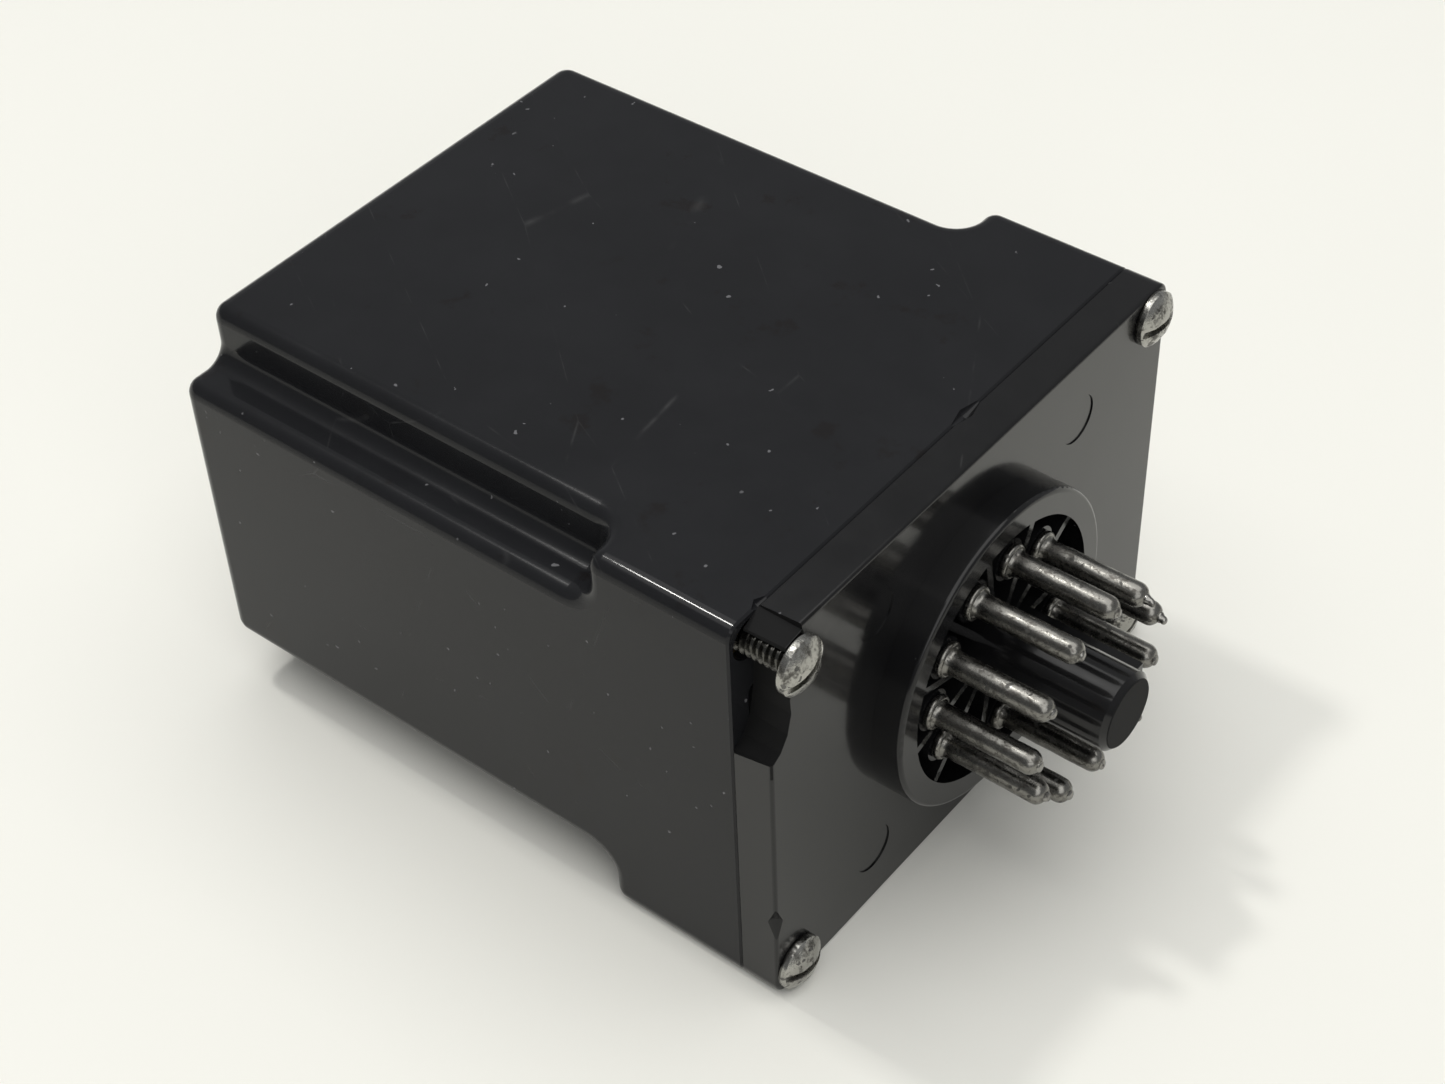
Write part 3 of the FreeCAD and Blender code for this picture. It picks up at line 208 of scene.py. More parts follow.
class EffectGroup:
    """A shared shader effect, kept as a node group that is built once.

    A subclass states its group's name and its inputs beside the vector, each with its default.
    """

    name = "effect"
    sockets: tuple[tuple[str, float], ...] = ()
    result = "Mask"
    result_type = "NodeSocketFloat"

    @classmethod
    def tree(cls) -> bpy.types.NodeTree:
        """Returns the group's tree, building it at the first call."""
        found = bpy.data.node_groups.get(cls.name)
        if found:
            return found
        tree = bpy.data.node_groups.new(cls.name, "ShaderNodeTree")
        tree.interface.new_socket(name="Vector", in_out="INPUT", socket_type="NodeSocketVector")
        for name, default in cls.sockets:
            socket = tree.interface.new_socket(name=name, in_out="INPUT",
                                               socket_type="NodeSocketFloat")
            socket.default_value = default
        tree.interface.new_socket(name=cls.result, in_out="OUTPUT", socket_type=cls.result_type)
        graph = Graph(tree)
        given = graph.add("NodeGroupInput")
        made = cls.fill(graph, given.outputs)
        graph.add("NodeGroupOutput", {cls.result: made})
        return tree

    @classmethod
    def fill(cls, graph: Graph, given) -> bpy.types.NodeSocket:
        """Builds the effect and returns its result."""
        raise NotImplementedError

    @classmethod
    def use(cls, graph: Graph, vector, **values) -> bpy.types.NodeSocket:
        """Adds the effect to a material and returns its result."""
        node = graph.add("ShaderNodeGroup", node_tree=cls.tree())
        graph.tree.links.new(vector, node.inputs["Vector"])
        for name, value in values.items():
            socket = node.inputs[name.capitalize()]
            if isinstance(value, bpy.types.NodeSocket):
                graph.tree.links.new(value, socket)
            else:
                socket.default_value = value
        return node.outputs[cls.result]


class Specks(EffectGroup):
    """Sparse irregular dots: dust, chips and pinholes.

    Scale is cells per metre, Share the share of cells with a dot, and Size a dot's radius over
    its cell.
    """

    name = "specks"
    sockets = (("Scale", 400.0), ("Share", 0.1), ("Size", 0.15))

    @classmethod
    def fill(cls, graph: Graph, given) -> bpy.types.NodeSocket:
        """A dot in some cells of a Voronoi texture, its outline roughened by noise."""
        wobble = graph.add("ShaderNodeTexNoise",
                           {"Vector": given["Vector"], "Scale": 900.0, "Detail": 2.0})
        shift = graph.add("ShaderNodeVectorMath",
                          {0: wobble.outputs["Color"], 1: (0.0012, 0.0012, 0.0012)},
                          operation="MULTIPLY")
        moved = graph.add("ShaderNodeVectorMath", {0: given["Vector"], 1: shift.outputs[0]},
                          operation="ADD")
        cells = graph.add("ShaderNodeTexVoronoi",
                          {"Vector": moved.outputs[0], "Scale": given["Scale"]})
        tint = graph.add("ShaderNodeSeparateColor", {"Color": cells.outputs["Color"]})
        chosen = graph.math("LESS_THAN", tint.outputs[0], given["Share"])
        radius = graph.math("MULTIPLY", tint.outputs[1], given["Size"])
        edge = graph.math("SUBTRACT", radius, cells.outputs["Distance"])
        dot = graph.ramp(edge, 0.0, 0.03)
        return graph.math("MULTIPLY", dot, chosen)


class Scratches(EffectGroup):
    """Short fine scratches that run roughly one way.

    Scale is cells per metre, Share how much of the lines is kept, and Width a line's width over
    its cell.
    """

    name = "scratches"
    sockets = (("Scale", 120.0), ("Share", 0.3), ("Width", 0.02))

    @classmethod
    def fill(cls, graph: Graph, given) -> bpy.types.NodeSocket:
        """Edges of long thin cells, broken up by noise."""
        turned = graph.add("ShaderNodeVectorRotate",
                           {"Vector": given["Vector"], "Angle": 0.62, "Axis": (0.25, 0.2, 1.0)},
                           rotation_type="AXIS_ANGLE")
        thin = graph.scaled(turned.outputs[0], (0.18, 1.0, 0.6))
        lines = graph.add("ShaderNodeTexVoronoi", {"Vector": thin, "Scale": given["Scale"]},
                          feature="DISTANCE_TO_EDGE")
        near = graph.math("SUBTRACT", given["Width"], lines.outputs["Distance"])
        line = graph.ramp(near, 0.0, 0.01)
        patches = graph.noise(given["Vector"], 260.0, 2.0)
        kept = graph.ramp(patches, graph.math("SUBTRACT", 0.78, given["Share"]), 0.86)
        return graph.math("MULTIPLY", line, kept)


class Mottle(EffectGroup):
    """Cloudy patches of two sizes.

    Scale is patches per metre. The mask rises from 0 at the noise's value Low to 1 at High.
    """

    name = "mottle"
    sockets = (("Scale", 100.0), ("Low", 0.4), ("High", 0.6))

    @classmethod
    def fill(cls, graph: Graph, given) -> bpy.types.NodeSocket:
        """Coarse noise with a third of fine noise, mapped to a mask."""
        coarse = graph.noise(given["Vector"], given["Scale"], 4.0, 0.6)
        fine = graph.noise(given["Vector"], graph.math("MULTIPLY", given["Scale"], 4.3), 3.0, 0.6)
        both = graph.add("ShaderNodeMath",
                         {0: fine, 1: 0.33, 2: graph.math("MULTIPLY", coarse, 0.67)},
                         operation="MULTIPLY_ADD")
        return graph.ramp(both.outputs[0], given["Low"], given["High"])


class Relief(EffectGroup):
    """A bumped normal from fine noise.

    Scale is bumps per metre, Strength the share of the bump that shows, Depth its depth in metres.
    """

    name = "relief"
    sockets = (("Scale", 3000.0), ("Strength", 0.2), ("Depth", 0.00003))
    result = "Normal"
    result_type = "NodeSocketVector"

    @classmethod
    def fill(cls, graph: Graph, given) -> bpy.types.NodeSocket:
        """Bump from two sizes of noise."""
        fine = graph.noise(given["Vector"], given["Scale"], 3.0, 0.55)
        wave = graph.noise(given["Vector"], graph.math("MULTIPLY", given["Scale"], 0.11), 2.0)
        height = graph.math("ADD", fine, wave)
        bump = graph.add("ShaderNodeBump", {"Height": height, "Strength": given["Strength"],
                                            "Distance": given["Depth"]})
        return bump.outputs["Normal"]


# ---------------------------------------------------------------- finishes


@dataclass(frozen=True)
class Finish:
    """A procedural material for one slot.

    Args:
        slot: The record's slot that it belongs to.
        colour: Main colour.
        roughness: Main roughness.
        metallic: 1 for bare metal.
    """

    slot: Slot
    colour: Colour
    roughness: float
    metallic: float = 0.0

    def material(self) -> bpy.types.Material:
        """Returns the finish's material, building it at the first call."""
        found = bpy.data.materials.get(self.slot.value + "_finish")
        if found:
            return found
        made = bpy.data.materials.new(self.slot.value + "_finish")
        made.use_nodes = True
        graph = Graph(made.node_tree)
        place = graph.add("ShaderNodeTexCoord").outputs["Object"]
        inputs = {"Base Color": rgba(self.colour), "Roughness": self.roughness,
                  "Metallic": self.metallic}
        inputs.update(self.detail(graph, place))
        shader = graph.add("ShaderNodeBsdfPrincipled", inputs)
        graph.add("ShaderNodeOutputMaterial", {"Surface": shader.outputs[0]})
        made.diffuse_color = rgba(self.colour)
        made.roughness = self.roughness
        made.metallic = self.metallic
        return made

    def detail(self, graph: Graph, place) -> dict:
        """Builds what varies over the surface.

        Args:
            graph: The material's graph.
            place: The object coordinates.

        Returns:
            Inputs of the Principled shader.
        """
        raise NotImplementedError


@dataclass(frozen=True)
class WornPlastic(Finish):
    """Moulded plastic with dust specks, scratches, smudges and a fine mould grain.

    Args:
        speck_share: Share of cells with a pale speck.
        scratch_share: How much of the scratch pattern shows.
        smudge: How far smudges change the roughness.
        grain: Strength of the mould grain.
        stain: Strength of brown-black stains.
        dull_beyond: The moulding is matt where x is greater than this, as on the key post's end.
        broken: Low and high corner of a box in which the surface is a rough, dark break. It counts
            only together with dull_beyond.
        ior: Index of refraction.
        gloss: Weight of a thin glossy skin.
    """

    speck_share: float = 0.1
    scratch_share: float = 0.2
    smudge: float = 0.1
    grain: float = 0.15
    stain: float = 0.3
    dull_beyond: float | None = None
    broken: tuple[Place, Place] | None = None
    ior: float = 1.46
    gloss: float = 0.0

    def detail(self, graph: Graph, place) -> dict:
        """Specks and scratches over stained, smudged plastic."""
        clouds = Mottle.use(graph, place, scale=38.0, low=0.3, high=0.75)
        stains = Mottle.use(graph, place, scale=130.0, low=0.58, high=0.66)
        worn = tuple(min(1.0, c * 1.25) for c in self.colour)
        base = graph.mix(clouds, self.colour, worn)
        stained = (self.colour[0] * 0.75, self.colour[1] * 0.55, self.colour[2] * 0.45)
        base = graph.mix(graph.math("MULTIPLY", stains, self.stain), base, stained)
        dust = Specks.use(graph, place, scale=620.0, share=self.speck_share, size=0.15)
        fluff = Specks.use(graph, graph.scaled(place, (1.0, 0.5, 1.0)), scale=430.0,
                           share=self.speck_share * 0.4, size=0.1)
        lines = Scratches.use(graph, place, scale=95.0, share=self.scratch_share, width=0.007)
        pale = graph.math("MAXIMUM", dust, graph.math("MULTIPLY", fluff, 0.7))
        base = graph.mix(graph.math("MULTIPLY", pale, 0.6), base, (0.2, 0.2, 0.21))
        base = graph.mix(graph.math("MULTIPLY", lines, 0.3), base, (0.16, 0.16, 0.16))
        smudged = Mottle.use(graph, place, scale=75.0, low=0.3, high=0.7)
        low = self.roughness - self.smudge / 2
        rough = graph.ramp(smudged, 0.0, 1.0, low, low + self.smudge)
        rough = graph.math("ADD", rough, graph.math("MULTIPLY", pale, 0.25))
        gloss = self.gloss
        if self.dull_beyond is not None:
            split = graph.add("ShaderNodeSeparateXYZ", {0: place})
            dull = graph.math("GREATER_THAN", split.outputs[0], self.dull_beyond)
            if self.broken is not None:
                dull = graph.math("MAXIMUM", dull, graph.inside(place, *self.broken))
            rough = graph.math("MAXIMUM", rough, graph.math("MULTIPLY", dull, DULL_ROUGHNESS))
            base = graph.mix(dull, base, tuple(c * DULL_SHADE for c in self.colour))
            gloss = graph.ramp(dull, 0.0, 1.0, self.gloss, 0.0)
        return {
            "Base Color": base,
            "Roughness": rough,
            "IOR": self.ior,
            "Coat Weight": gloss,
            "Coat Roughness": 0.07,
            "Normal": Relief.use(graph, place, scale=2600.0, strength=self.grain, depth=0.00004),
        }


@dataclass(frozen=True)
class WornMetal(Finish):
    """Plated or tinned metal with dull patches, dark pits and wear streaks, and painted shade below
    a given x where asked.

    Args:
        dull: Colour of the dull patches.
        dull_share: 0 for none, 1 for dull all over.
        pits: Share of cells with a dark pit.
        streak: Coordinate factors that stretch the patches into streaks.
        patch_scale: Patches per metre.
        relief: Strength of the bumps.
        painted_shade_below: Painted shade darkens the metal where x is less than this, as on a
            screw's thread inside the plate and the foot of its head.
    """

    dull: Colour = (0.2, 0.19, 0.18)
    dull_share: float = 0.5
    pits: float = 0.2
    streak: Place = (1.0, 1.0, 1.0)
    patch_scale: float = 900.0
    relief: float = 0.3
    painted_shade_below: float | None = None

    def detail(self, graph: Graph, place) -> dict:
        """Dull patches and pits over bright metal, with painted shade below a given x."""
        drawn = graph.scaled(place, self.streak)
        start = 0.66 - 0.3 * self.dull_share
        patches = Mottle.use(graph, drawn, scale=self.patch_scale, low=start, high=start + 0.16)
        base = graph.mix(patches, self.colour, self.dull)
        pits = Specks.use(graph, place, scale=1500.0, share=self.pits, size=0.45)
        pit_colour = tuple(c * 0.35 for c in self.dull)
        base = graph.mix(graph.math("MULTIPLY", pits, 0.75), base, pit_colour)
        # Painted shade: the metal below the given x is darkened, as on a screw's thread in the
        # plate and the foot of its head against it.
        if self.painted_shade_below is not None:
            split = graph.add("ShaderNodeSeparateXYZ", {0: place})
            in_painted_shade = graph.math("LESS_THAN", split.outputs[0], self.painted_shade_below)
            painted_shade_colour = tuple(c * 0.4 for c in self.dull)
            base = graph.mix(graph.math("MULTIPLY", in_painted_shade, 0.8), base, painted_shade_colour)
        rough = graph.ramp(patches, 0.0, 1.0, self.roughness, min(1.0, self.roughness + 0.22))
        return {
            "Base Color": base,
            "Roughness": graph.math("ADD", rough, graph.math("MULTIPLY", pits, 0.2)),
            "Metallic": graph.ramp(pits, 0.0, 1.0, self.metallic, self.metallic * 0.5),
            "Normal": Relief.use(graph, drawn, scale=5200.0, strength=self.relief, depth=0.00004),
        }


@dataclass(frozen=True)
class WoundWire(Finish):
    """Enamelled wire wound in even layers round an X axis.

    Args:
        wire: Diameter of the wire.
    """

    wire: float = 0.12 * MM

    def detail(self, graph: Graph, place) -> dict:
        """A round ridge for each turn, with painted shade darkening the grooves between turns."""
        split = graph.add("ShaderNodeSeparateXYZ", {0: place})
        turns = graph.math("MULTIPLY", split.outputs[0], 2.0 * math.pi / self.wire)
        ridge = graph.math("ABSOLUTE", graph.math("SINE", turns))
        tone = graph.noise(graph.scaled(place, (1.0, 0.1, 0.1)), 3000.0, 2.0)
        # Painted shade: the grooves between turns are darkened to three tenths of the wire's
        # colour.
        dark = tuple(c * 0.3 for c in self.colour)
        base = graph.mix(graph.ramp(ridge, 0.0, 0.5), dark, self.colour)
        bump = graph.add("ShaderNodeBump",
                         {"Height": ridge, "Strength": 0.8, "Distance": self.wire / 2})
        return {
            "Base Color": base,
            "Roughness": graph.ramp(tone, 0.3, 0.7, 0.25, 0.4),
            "Coat Weight": 0.6,
            "Normal": bump.outputs["Normal"],
        }


@dataclass(frozen=True)
class WovenTape(Finish):
    """Varnished cloth tape: a fine weave under varnish.

    Args:
        thread: Distance between threads.
    """

    thread: float = 0.35 * MM

    def detail(self, graph: Graph, place) -> dict:
        """Crossed threads, with painted shade darkening the gaps between them."""
        split = graph.add("ShaderNodeSeparateXYZ", {0: place})
        round_y = graph.math("SUBTRACT", split.outputs[1], split.outputs[2])
        waves = []
        for value in (split.outputs[0], round_y):
            turns = graph.math("MULTIPLY", value, math.pi / self.thread)
            waves.append(graph.math("ABSOLUTE", graph.math("SINE", turns)))
        weave = graph.math("MULTIPLY", *waves)
        # Painted shade: the gaps between threads are darkened to under half of the tape's colour.
        dark = tuple(c * 0.45 for c in self.colour)
        base = graph.mix(graph.ramp(weave, 0.1, 0.7), dark, self.colour)
        bump = graph.add("ShaderNodeBump",
                         {"Height": weave, "Strength": 0.5, "Distance": 0.05 * MM})
        return {
            "Base Color": base,
            "Coat Weight": 0.4,
            "Coat Roughness": 0.25,
            "Normal": bump.outputs["Normal"],
        }


@dataclass(frozen=True)
class LaminatedBoard(Finish):
    """Insulating board with fine fibres, for spacers and the lifting card."""

    def detail(self, graph: Graph, place) -> dict:
        """Fibres along X over cloudy resin."""
        fibres = graph.noise(graph.scaled(place, (0.12, 1.0, 1.0)), 5000.0, 3.0, 0.7)
        clouds = Mottle.use(graph, place, scale=300.0, low=0.3, high=0.7)
        pale = tuple(min(1.0, c * 1.5) for c in self.colour)
        base = graph.mix(graph.ramp(fibres, 0.45, 0.7), self.colour, pale)
        dark = tuple(c * 0.6 for c in self.colour)
        base = graph.mix(graph.math("MULTIPLY", clouds, 0.35), base, dark)
        return {
            "Base Color": base,
            "Normal": Relief.use(graph, place, scale=4000.0, strength=0.2, depth=0.00004),
        }


def plate_front() -> float:
    """Returns x of the base plate's front face."""
    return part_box("housing")[1][0] + PLATE_THICKNESS


def broken_corner() -> tuple[Place, Place]:
    """Returns a box that holds the base plate's broken corner, just inside the plate's faces."""
    low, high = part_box("base_plate")
    front = plate_front()
    skin = 0.03 * MM
    return ((front - PLATE_THICKNESS - skin, low[1] + skin, high[2] - BREAK_HEIGHT),
            (front - skin, low[1] + BREAK_DEPTH, high[2] - skin))


def finishes() -> dict[Slot, Finish]:
    """Returns the finish of every slot."""
    lead = {"speck_share": 0.02, "scratch_share": 0.0, "stain": 0.1}
    made = [
        WornPlastic(Slot.HOUSING, (0.0118, 0.0121, 0.0134), 0.2, speck_share=0.26,
                    scratch_share=0.3, smudge=0.08, grain=0.1, stain=0.5, ior=1.15, gloss=0.28),
        WornPlastic(Slot.BASE, (0.006, 0.006, 0.0064), 0.17, speck_share=0.09, scratch_share=0.26,
                    smudge=0.09, grain=0.05, stain=0.25, dull_beyond=POST_END_PLANE,
                    broken=broken_corner(), ior=1.31, gloss=0.22),
        WornMetal(Slot.NAMEPLATE, (0.66, 0.66, 0.65), 0.34, 1.0, dull=(0.48, 0.48, 0.47),
                  dull_share=0.4, pits=0.04, streak=(1.0, 0.03, 1.0), relief=0.25),
        WornMetal(Slot.PIN, (0.21, 0.205, 0.19), 0.26, 1.0, dull=(0.095, 0.09, 0.082),
                  dull_share=0.6, pits=0.3, streak=(0.6, 1.0, 1.0), relief=0.28,
                  patch_scale=1700.0),
        WornMetal(Slot.TINNED, (0.66, 0.65, 0.62), 0.28, 1.0, dull_share=0.3),
        WornMetal(Slot.SOLDER, (0.26, 0.255, 0.24), 0.22, 1.0, dull=(0.1, 0.095, 0.09),
                  dull_share=0.55, relief=0.4),
        WornMetal(Slot.COVER_SCREW, (0.38, 0.375, 0.35), 0.22, 1.0, dull=(0.1, 0.096, 0.088),
                  dull_share=0.62, pits=0.42, relief=0.5,
                  painted_shade_below=plate_front() + SCREW_PAINTED_SHADE_DEPTH),
        WornMetal(Slot.SCREW_STEEL, (0.62, 0.62, 0.6), 0.3, 1.0, dull_share=0.3),
        WornMetal(Slot.MAGNET_STEEL, (0.5, 0.5, 0.49), 0.35, 1.0, dull_share=0.35, pits=0.1,
                  relief=0.25),
        WornMetal(Slot.BRASS, (0.78, 0.58, 0.28), 0.3, 1.0, dull=(0.42, 0.28, 0.1),
                  dull_share=0.3, pits=0.1),
        WoundWire(Slot.COPPER_WIRE, (0.62, 0.25, 0.1), 0.3, 0.8),
        WovenTape(Slot.COIL_TAPE, (0.68, 0.54, 0.16), 0.5),
        WornPlastic(Slot.BOBBIN, (0.66, 0.63, 0.56), 0.5, speck_share=0.02, scratch_share=0.0,
                    stain=0.1),
        LaminatedBoard(Slot.CARD, (0.42, 0.27, 0.12), 0.5),
        LaminatedBoard(Slot.SPACER, (0.26, 0.13, 0.06), 0.45),
        WornMetal(Slot.BLADE, (0.72, 0.5, 0.3), 0.28, 1.0, dull=(0.45, 0.28, 0.15),
                  dull_share=0.25, pits=0.05, streak=(0.1, 1.0, 1.0)),
        WornMetal(Slot.CONTACT, (0.86, 0.85, 0.82), 0.2, 1.0, dull=(0.5, 0.48, 0.44),
                  dull_share=0.2, pits=0.05),
        WornPlastic(Slot.LEAD_RED, (0.42, 0.02, 0.015), 0.4, **lead),
        WornPlastic(Slot.LEAD_YELLOW, (0.55, 0.38, 0.03), 0.4, **lead),
        WornPlastic(Slot.LEAD_WHITE, (0.6, 0.6, 0.56), 0.4, **lead),
        WornPlastic(Slot.LEAD_BLUE, (0.02, 0.06, 0.3), 0.4, **lead),
    ]
    return {finish.slot: finish for finish in made}


# ---------------------------------------------------------------- mesh helpers


def finished_object(name: str, mesh: bmesh.types.BMesh, finish: Finish,
                    smooth_angle: float = 35.0) -> bpy.types.Object:
    """Turns a bmesh into a dressed object with its normals outwards.

    Args:
        name: The object's name.
        mesh: The bmesh, which is freed.
        finish: Its finish.
        smooth_angle: Edges sharper than this many degrees stay sharp.

    Returns:
        The object, in the scene at the origin.
    """
    bmesh.ops.remove_doubles(mesh, verts=mesh.verts, dist=1e-6)
    bmesh.ops.recalc_face_normals(mesh, faces=mesh.faces)
    limit = math.radians(smooth_angle)
    for face in mesh.faces:
        face.smooth = True
    for edge in mesh.edges:
        edge.smooth = len(edge.link_faces) == 2 and edge.calc_face_angle(0.0) < limit
    data = bpy.data.meshes.new(name)
    mesh.to_mesh(data)
    mesh.free()
    made = bpy.data.objects.new(name, data)
    bpy.context.scene.collection.objects.link(made)
    data.materials.append(finish.material())
    return made


def lathe(profile: Profile, y: float, z: float, segments: int) -> bmesh.types.BMesh:
    """Spins an open outline about an X axis.

    Args:
        profile: (x, radius) points.
        y: Place of the axis.
        z: Place of the axis.
        segments: Faces round the axis.

    Returns:
        The spun bmesh.
    """
    mesh = bmesh.new()
    points = [mesh.verts.new((x, y + radius, z)) for x, radius in profile]
    edges = [mesh.edges.new(pair) for pair in zip(points, points[1:])]
    bmesh.ops.spin(mesh, geom=points + edges, cent=(0.0, y, z), axis=(1.0, 0.0, 0.0),
                   angle=2.0 * math.pi, steps=segments, use_merge=True)
    bmesh.ops.remove_doubles(mesh, verts=mesh.verts, dist=1e-7)
    return mesh


def rounding(x: float, radius: float, size: float, start: float, end: float,
             steps: int) -> Profile:
    """Returns an arc of an outline about a centre, from one angle to another.

    Args:
        x: The centre's x.
        radius: The centre's distance from the axis.
        size: The arc's radius.
        start: First angle in degrees, 0 along +X and 90 away from the axis.
        end: Last angle.
        steps: Number of spans.

    Returns:
        The points, both ends included.
    """
    points = []
    for step in range(steps + 1):
        angle = math.radians(start + (end - start) * step / steps)
        points.append((x + size * math.cos(angle), radius + size * math.sin(angle)))
    return points


def roughen(mesh: bmesh.types.BMesh, depth: float, grain: float, seed: float,
            low_x: float) -> None:
    """Pushes vertices beyond a plane in and out along their normals, by smooth noise.

    Args:
        mesh: The bmesh.
        depth: The most that a vertex moves.
        grain: Length of the unevenness.
        seed: Offset of the noise.
        low_x: Only vertices beyond this x move.
    """
    mesh.normal_update()
    offset = Vector((seed * 7.13, seed * 3.7, seed * 11.9))
    for vertex in mesh.verts:
        if vertex.co.x > low_x:
            vertex.co += vertex.normal * depth * noise.noise(vertex.co / grain + offset)


# ---------------------------------------------------------------- plug pins and solder


@dataclass
class PlugPins:
    """The tubular pins, each with a swaged collar and a closed, rounded nose.

    Args:
        finish: The pins' finish.
        collar_radius: Radius of the swaged collar.
        collar_thickness: Along the pin.
        collar_edge: Rounding of the collar.
        pin_radius: Outer radius of a pin.
        bore_share: Bore over the pin's radius.
        nose_rounding: Radius of the nose's rounding.
        nose_hole: Radius of the hole in the nose, which the solder closes.
        nose_lip: Rounding of that hole's edge.
        segments: Faces round a pin.
        unevenness: Depth of the dents of handling.
    """

    finish: Finish
    collar_radius: float = 1.75 * MM
    collar_thickness: float = 0.75 * MM
    collar_edge: float = 0.34 * MM
    pin_radius: float = 1.18 * MM
    bore_share: float = 0.66
    nose_rounding: float = 1.08 * MM
    nose_hole: float = 0.3 * MM
    nose_lip: float = 0.12 * MM
    segments: int = 56
    unevenness: float = 0.035 * MM

    def profile(self, back: float, tip: float, collar: float) -> Profile:
        """Returns the closed outline of a pin.

        Args:
            back: x of the open back end.
            tip: x of the nose's tip.
            collar: x of the collar's back face.

        Returns:
            The (x, radius) points, from the bore at the back round to the bore again.
        """
        radius = self.pin_radius
        lip = self.nose_lip
        bore = radius * self.bore_share
        edge = self.collar_edge
        top = collar + self.collar_thickness
        nose = tip - self.nose_rounding
        shank = [(top + (nose - top) * k / 24, radius) for k in range(2, 24)]
        rim = rounding(tip - lip, self.nose_hole + lip, lip, 90.0, -90.0, 5)
        crown = rounding(nose, radius - self.nose_rounding, self.nose_rounding, 90.0, 22.0, 9)
        outline = [(back, bore), (back, radius), (collar, radius),
                   (collar, self.collar_radius - edge)]
        outline += rounding(collar + edge, self.collar_radius - edge, edge, 180.0, 90.0, 6)
        outline += rounding(top - edge, self.collar_radius - edge, edge, 90.0, 0.0, 6)
        flare = [(top + x * MM, radius + r * MM) for x, r in COLLAR_FLARE_MM]
        outline += flare + shank + crown + rim[:-1]
        outline += [(tip - 0.3 * MM, self.nose_hole), (tip - 0.9 * MM, bore), (back, bore)]
        return outline

    def build(self, seating: float) -> list[bpy.types.Object]:
        """Makes every pin.

        Args:
            seating: x of the plane that the collars' outer faces lie in.

        Returns:
            The pins.
        """
        made = []
        for number in range(1, PIN_COUNT + 1):
            node = "pin_%d" % number
            low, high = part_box(node)
            y = (low[1] + high[1]) / 2
            z = (low[2] + high[2]) / 2
            outline = self.profile(low[0], high[0], seating - self.collar_thickness)
            mesh = lathe(outline, y, z, self.segments)
            roughen(mesh, self.unevenness, 1.6 * MM, number, seating + 0.2 * MM)
            roughen(mesh, self.unevenness * 0.5, 0.45 * MM, number + 20.0, seating + 0.2 * MM)
            pin = finished_object("plug_pin_%02d" % number, mesh, self.finish)
            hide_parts(node)
            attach(pin, BODY)
            made.append(pin)
        return made


@dataclass
class SolderBeads:
    """The frozen drops of solder that close the pins' noses.

    Args:
        finish: The solder's finish.
        spread: Radius of a bead where it meets the nose.
        lengths: How far each drop stands out in millimetres, pin 1 to pin 11.
        lean: How far a drop's end may lie off its pin's axis, in millimetres.
        segments: Faces round a drop.
    """

    finish: Finish
    spread: float = 0.5 * MM
    lengths: tuple[float, ...] = (0.22, 0.8, 0.2, 0.24, 0.3, 0.22, 0.28, 0.24, 0.2, 0.95, 0.75)
    lean: float = 0.16
    segments: int = 32

    def build(self) -> list[bpy.types.Object]:
        """Makes every bead, each a little different."""
        made = []
        chance = random.Random(11)
        for number, length in enumerate(self.lengths, 1):
            low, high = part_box("pin_%d" % number)
            tip = high[0]
            y = (low[1] + high[1]) / 2
            z = (low[2] + high[2]) / 2
            reach = length * MM
            drawn_out = length > LONG_BEAD_MM
            neck = chance.uniform(0.7, 0.86) if drawn_out else 0.97
            power = 4 if drawn_out else 2
            outline = [(tip - 0.6 * MM, 0.0), (tip - 0.6 * MM, 0.28 * MM),
                       (tip - 0.15 * MM, self.spread), (tip, self.spread * 1.05),
                       (tip + reach * 0.12, self.spread * 0.97)]
            for share in (0.35, 0.55, 0.75, 0.88, 0.96, 1.0):
                width = self.spread * neck * math.sqrt(max(0.0, 1.0 - share ** power))
                outline.append((tip + reach * share, width))
            mesh = lathe(outline, y, z, self.segments)
            way = Vector((0.0, chance.uniform(-0.8, 0.8), chance.uniform(-1.0, 0.1)))
            lean = way * self.lean * MM
            for vertex in mesh.verts:
                along = min(1.0, max(0.0, (vertex.co.x - tip) / reach))
                vertex.co += lean * along
            roughen(mesh, 0.045 * MM, 0.5 * MM, number + 40.0, tip - 0.1 * MM)
            bead = finished_object("solder_bead_%02d" % number, mesh, self.finish,
                                   smooth_angle=60.0)
            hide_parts("solder_tips")
            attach(bead, BODY)
            made.append(bead)
        return made


# ---------------------------------------------------------------- cover screws


class Corner(Enum):
    """The four corners as signs along Y and Z."""

    NEAR_TOP = (-1, 1)
    NEAR_BOTTOM = (-1, -1)
    FAR_TOP = (1, 1)
    FAR_BOTTOM = (1, -1)


SLOT_ANGLES = {Corner.NEAR_TOP: 22.0, Corner.NEAR_BOTTOM: -4.0,
               Corner.FAR_TOP: 6.0, Corner.FAR_BOTTOM: 35.0}


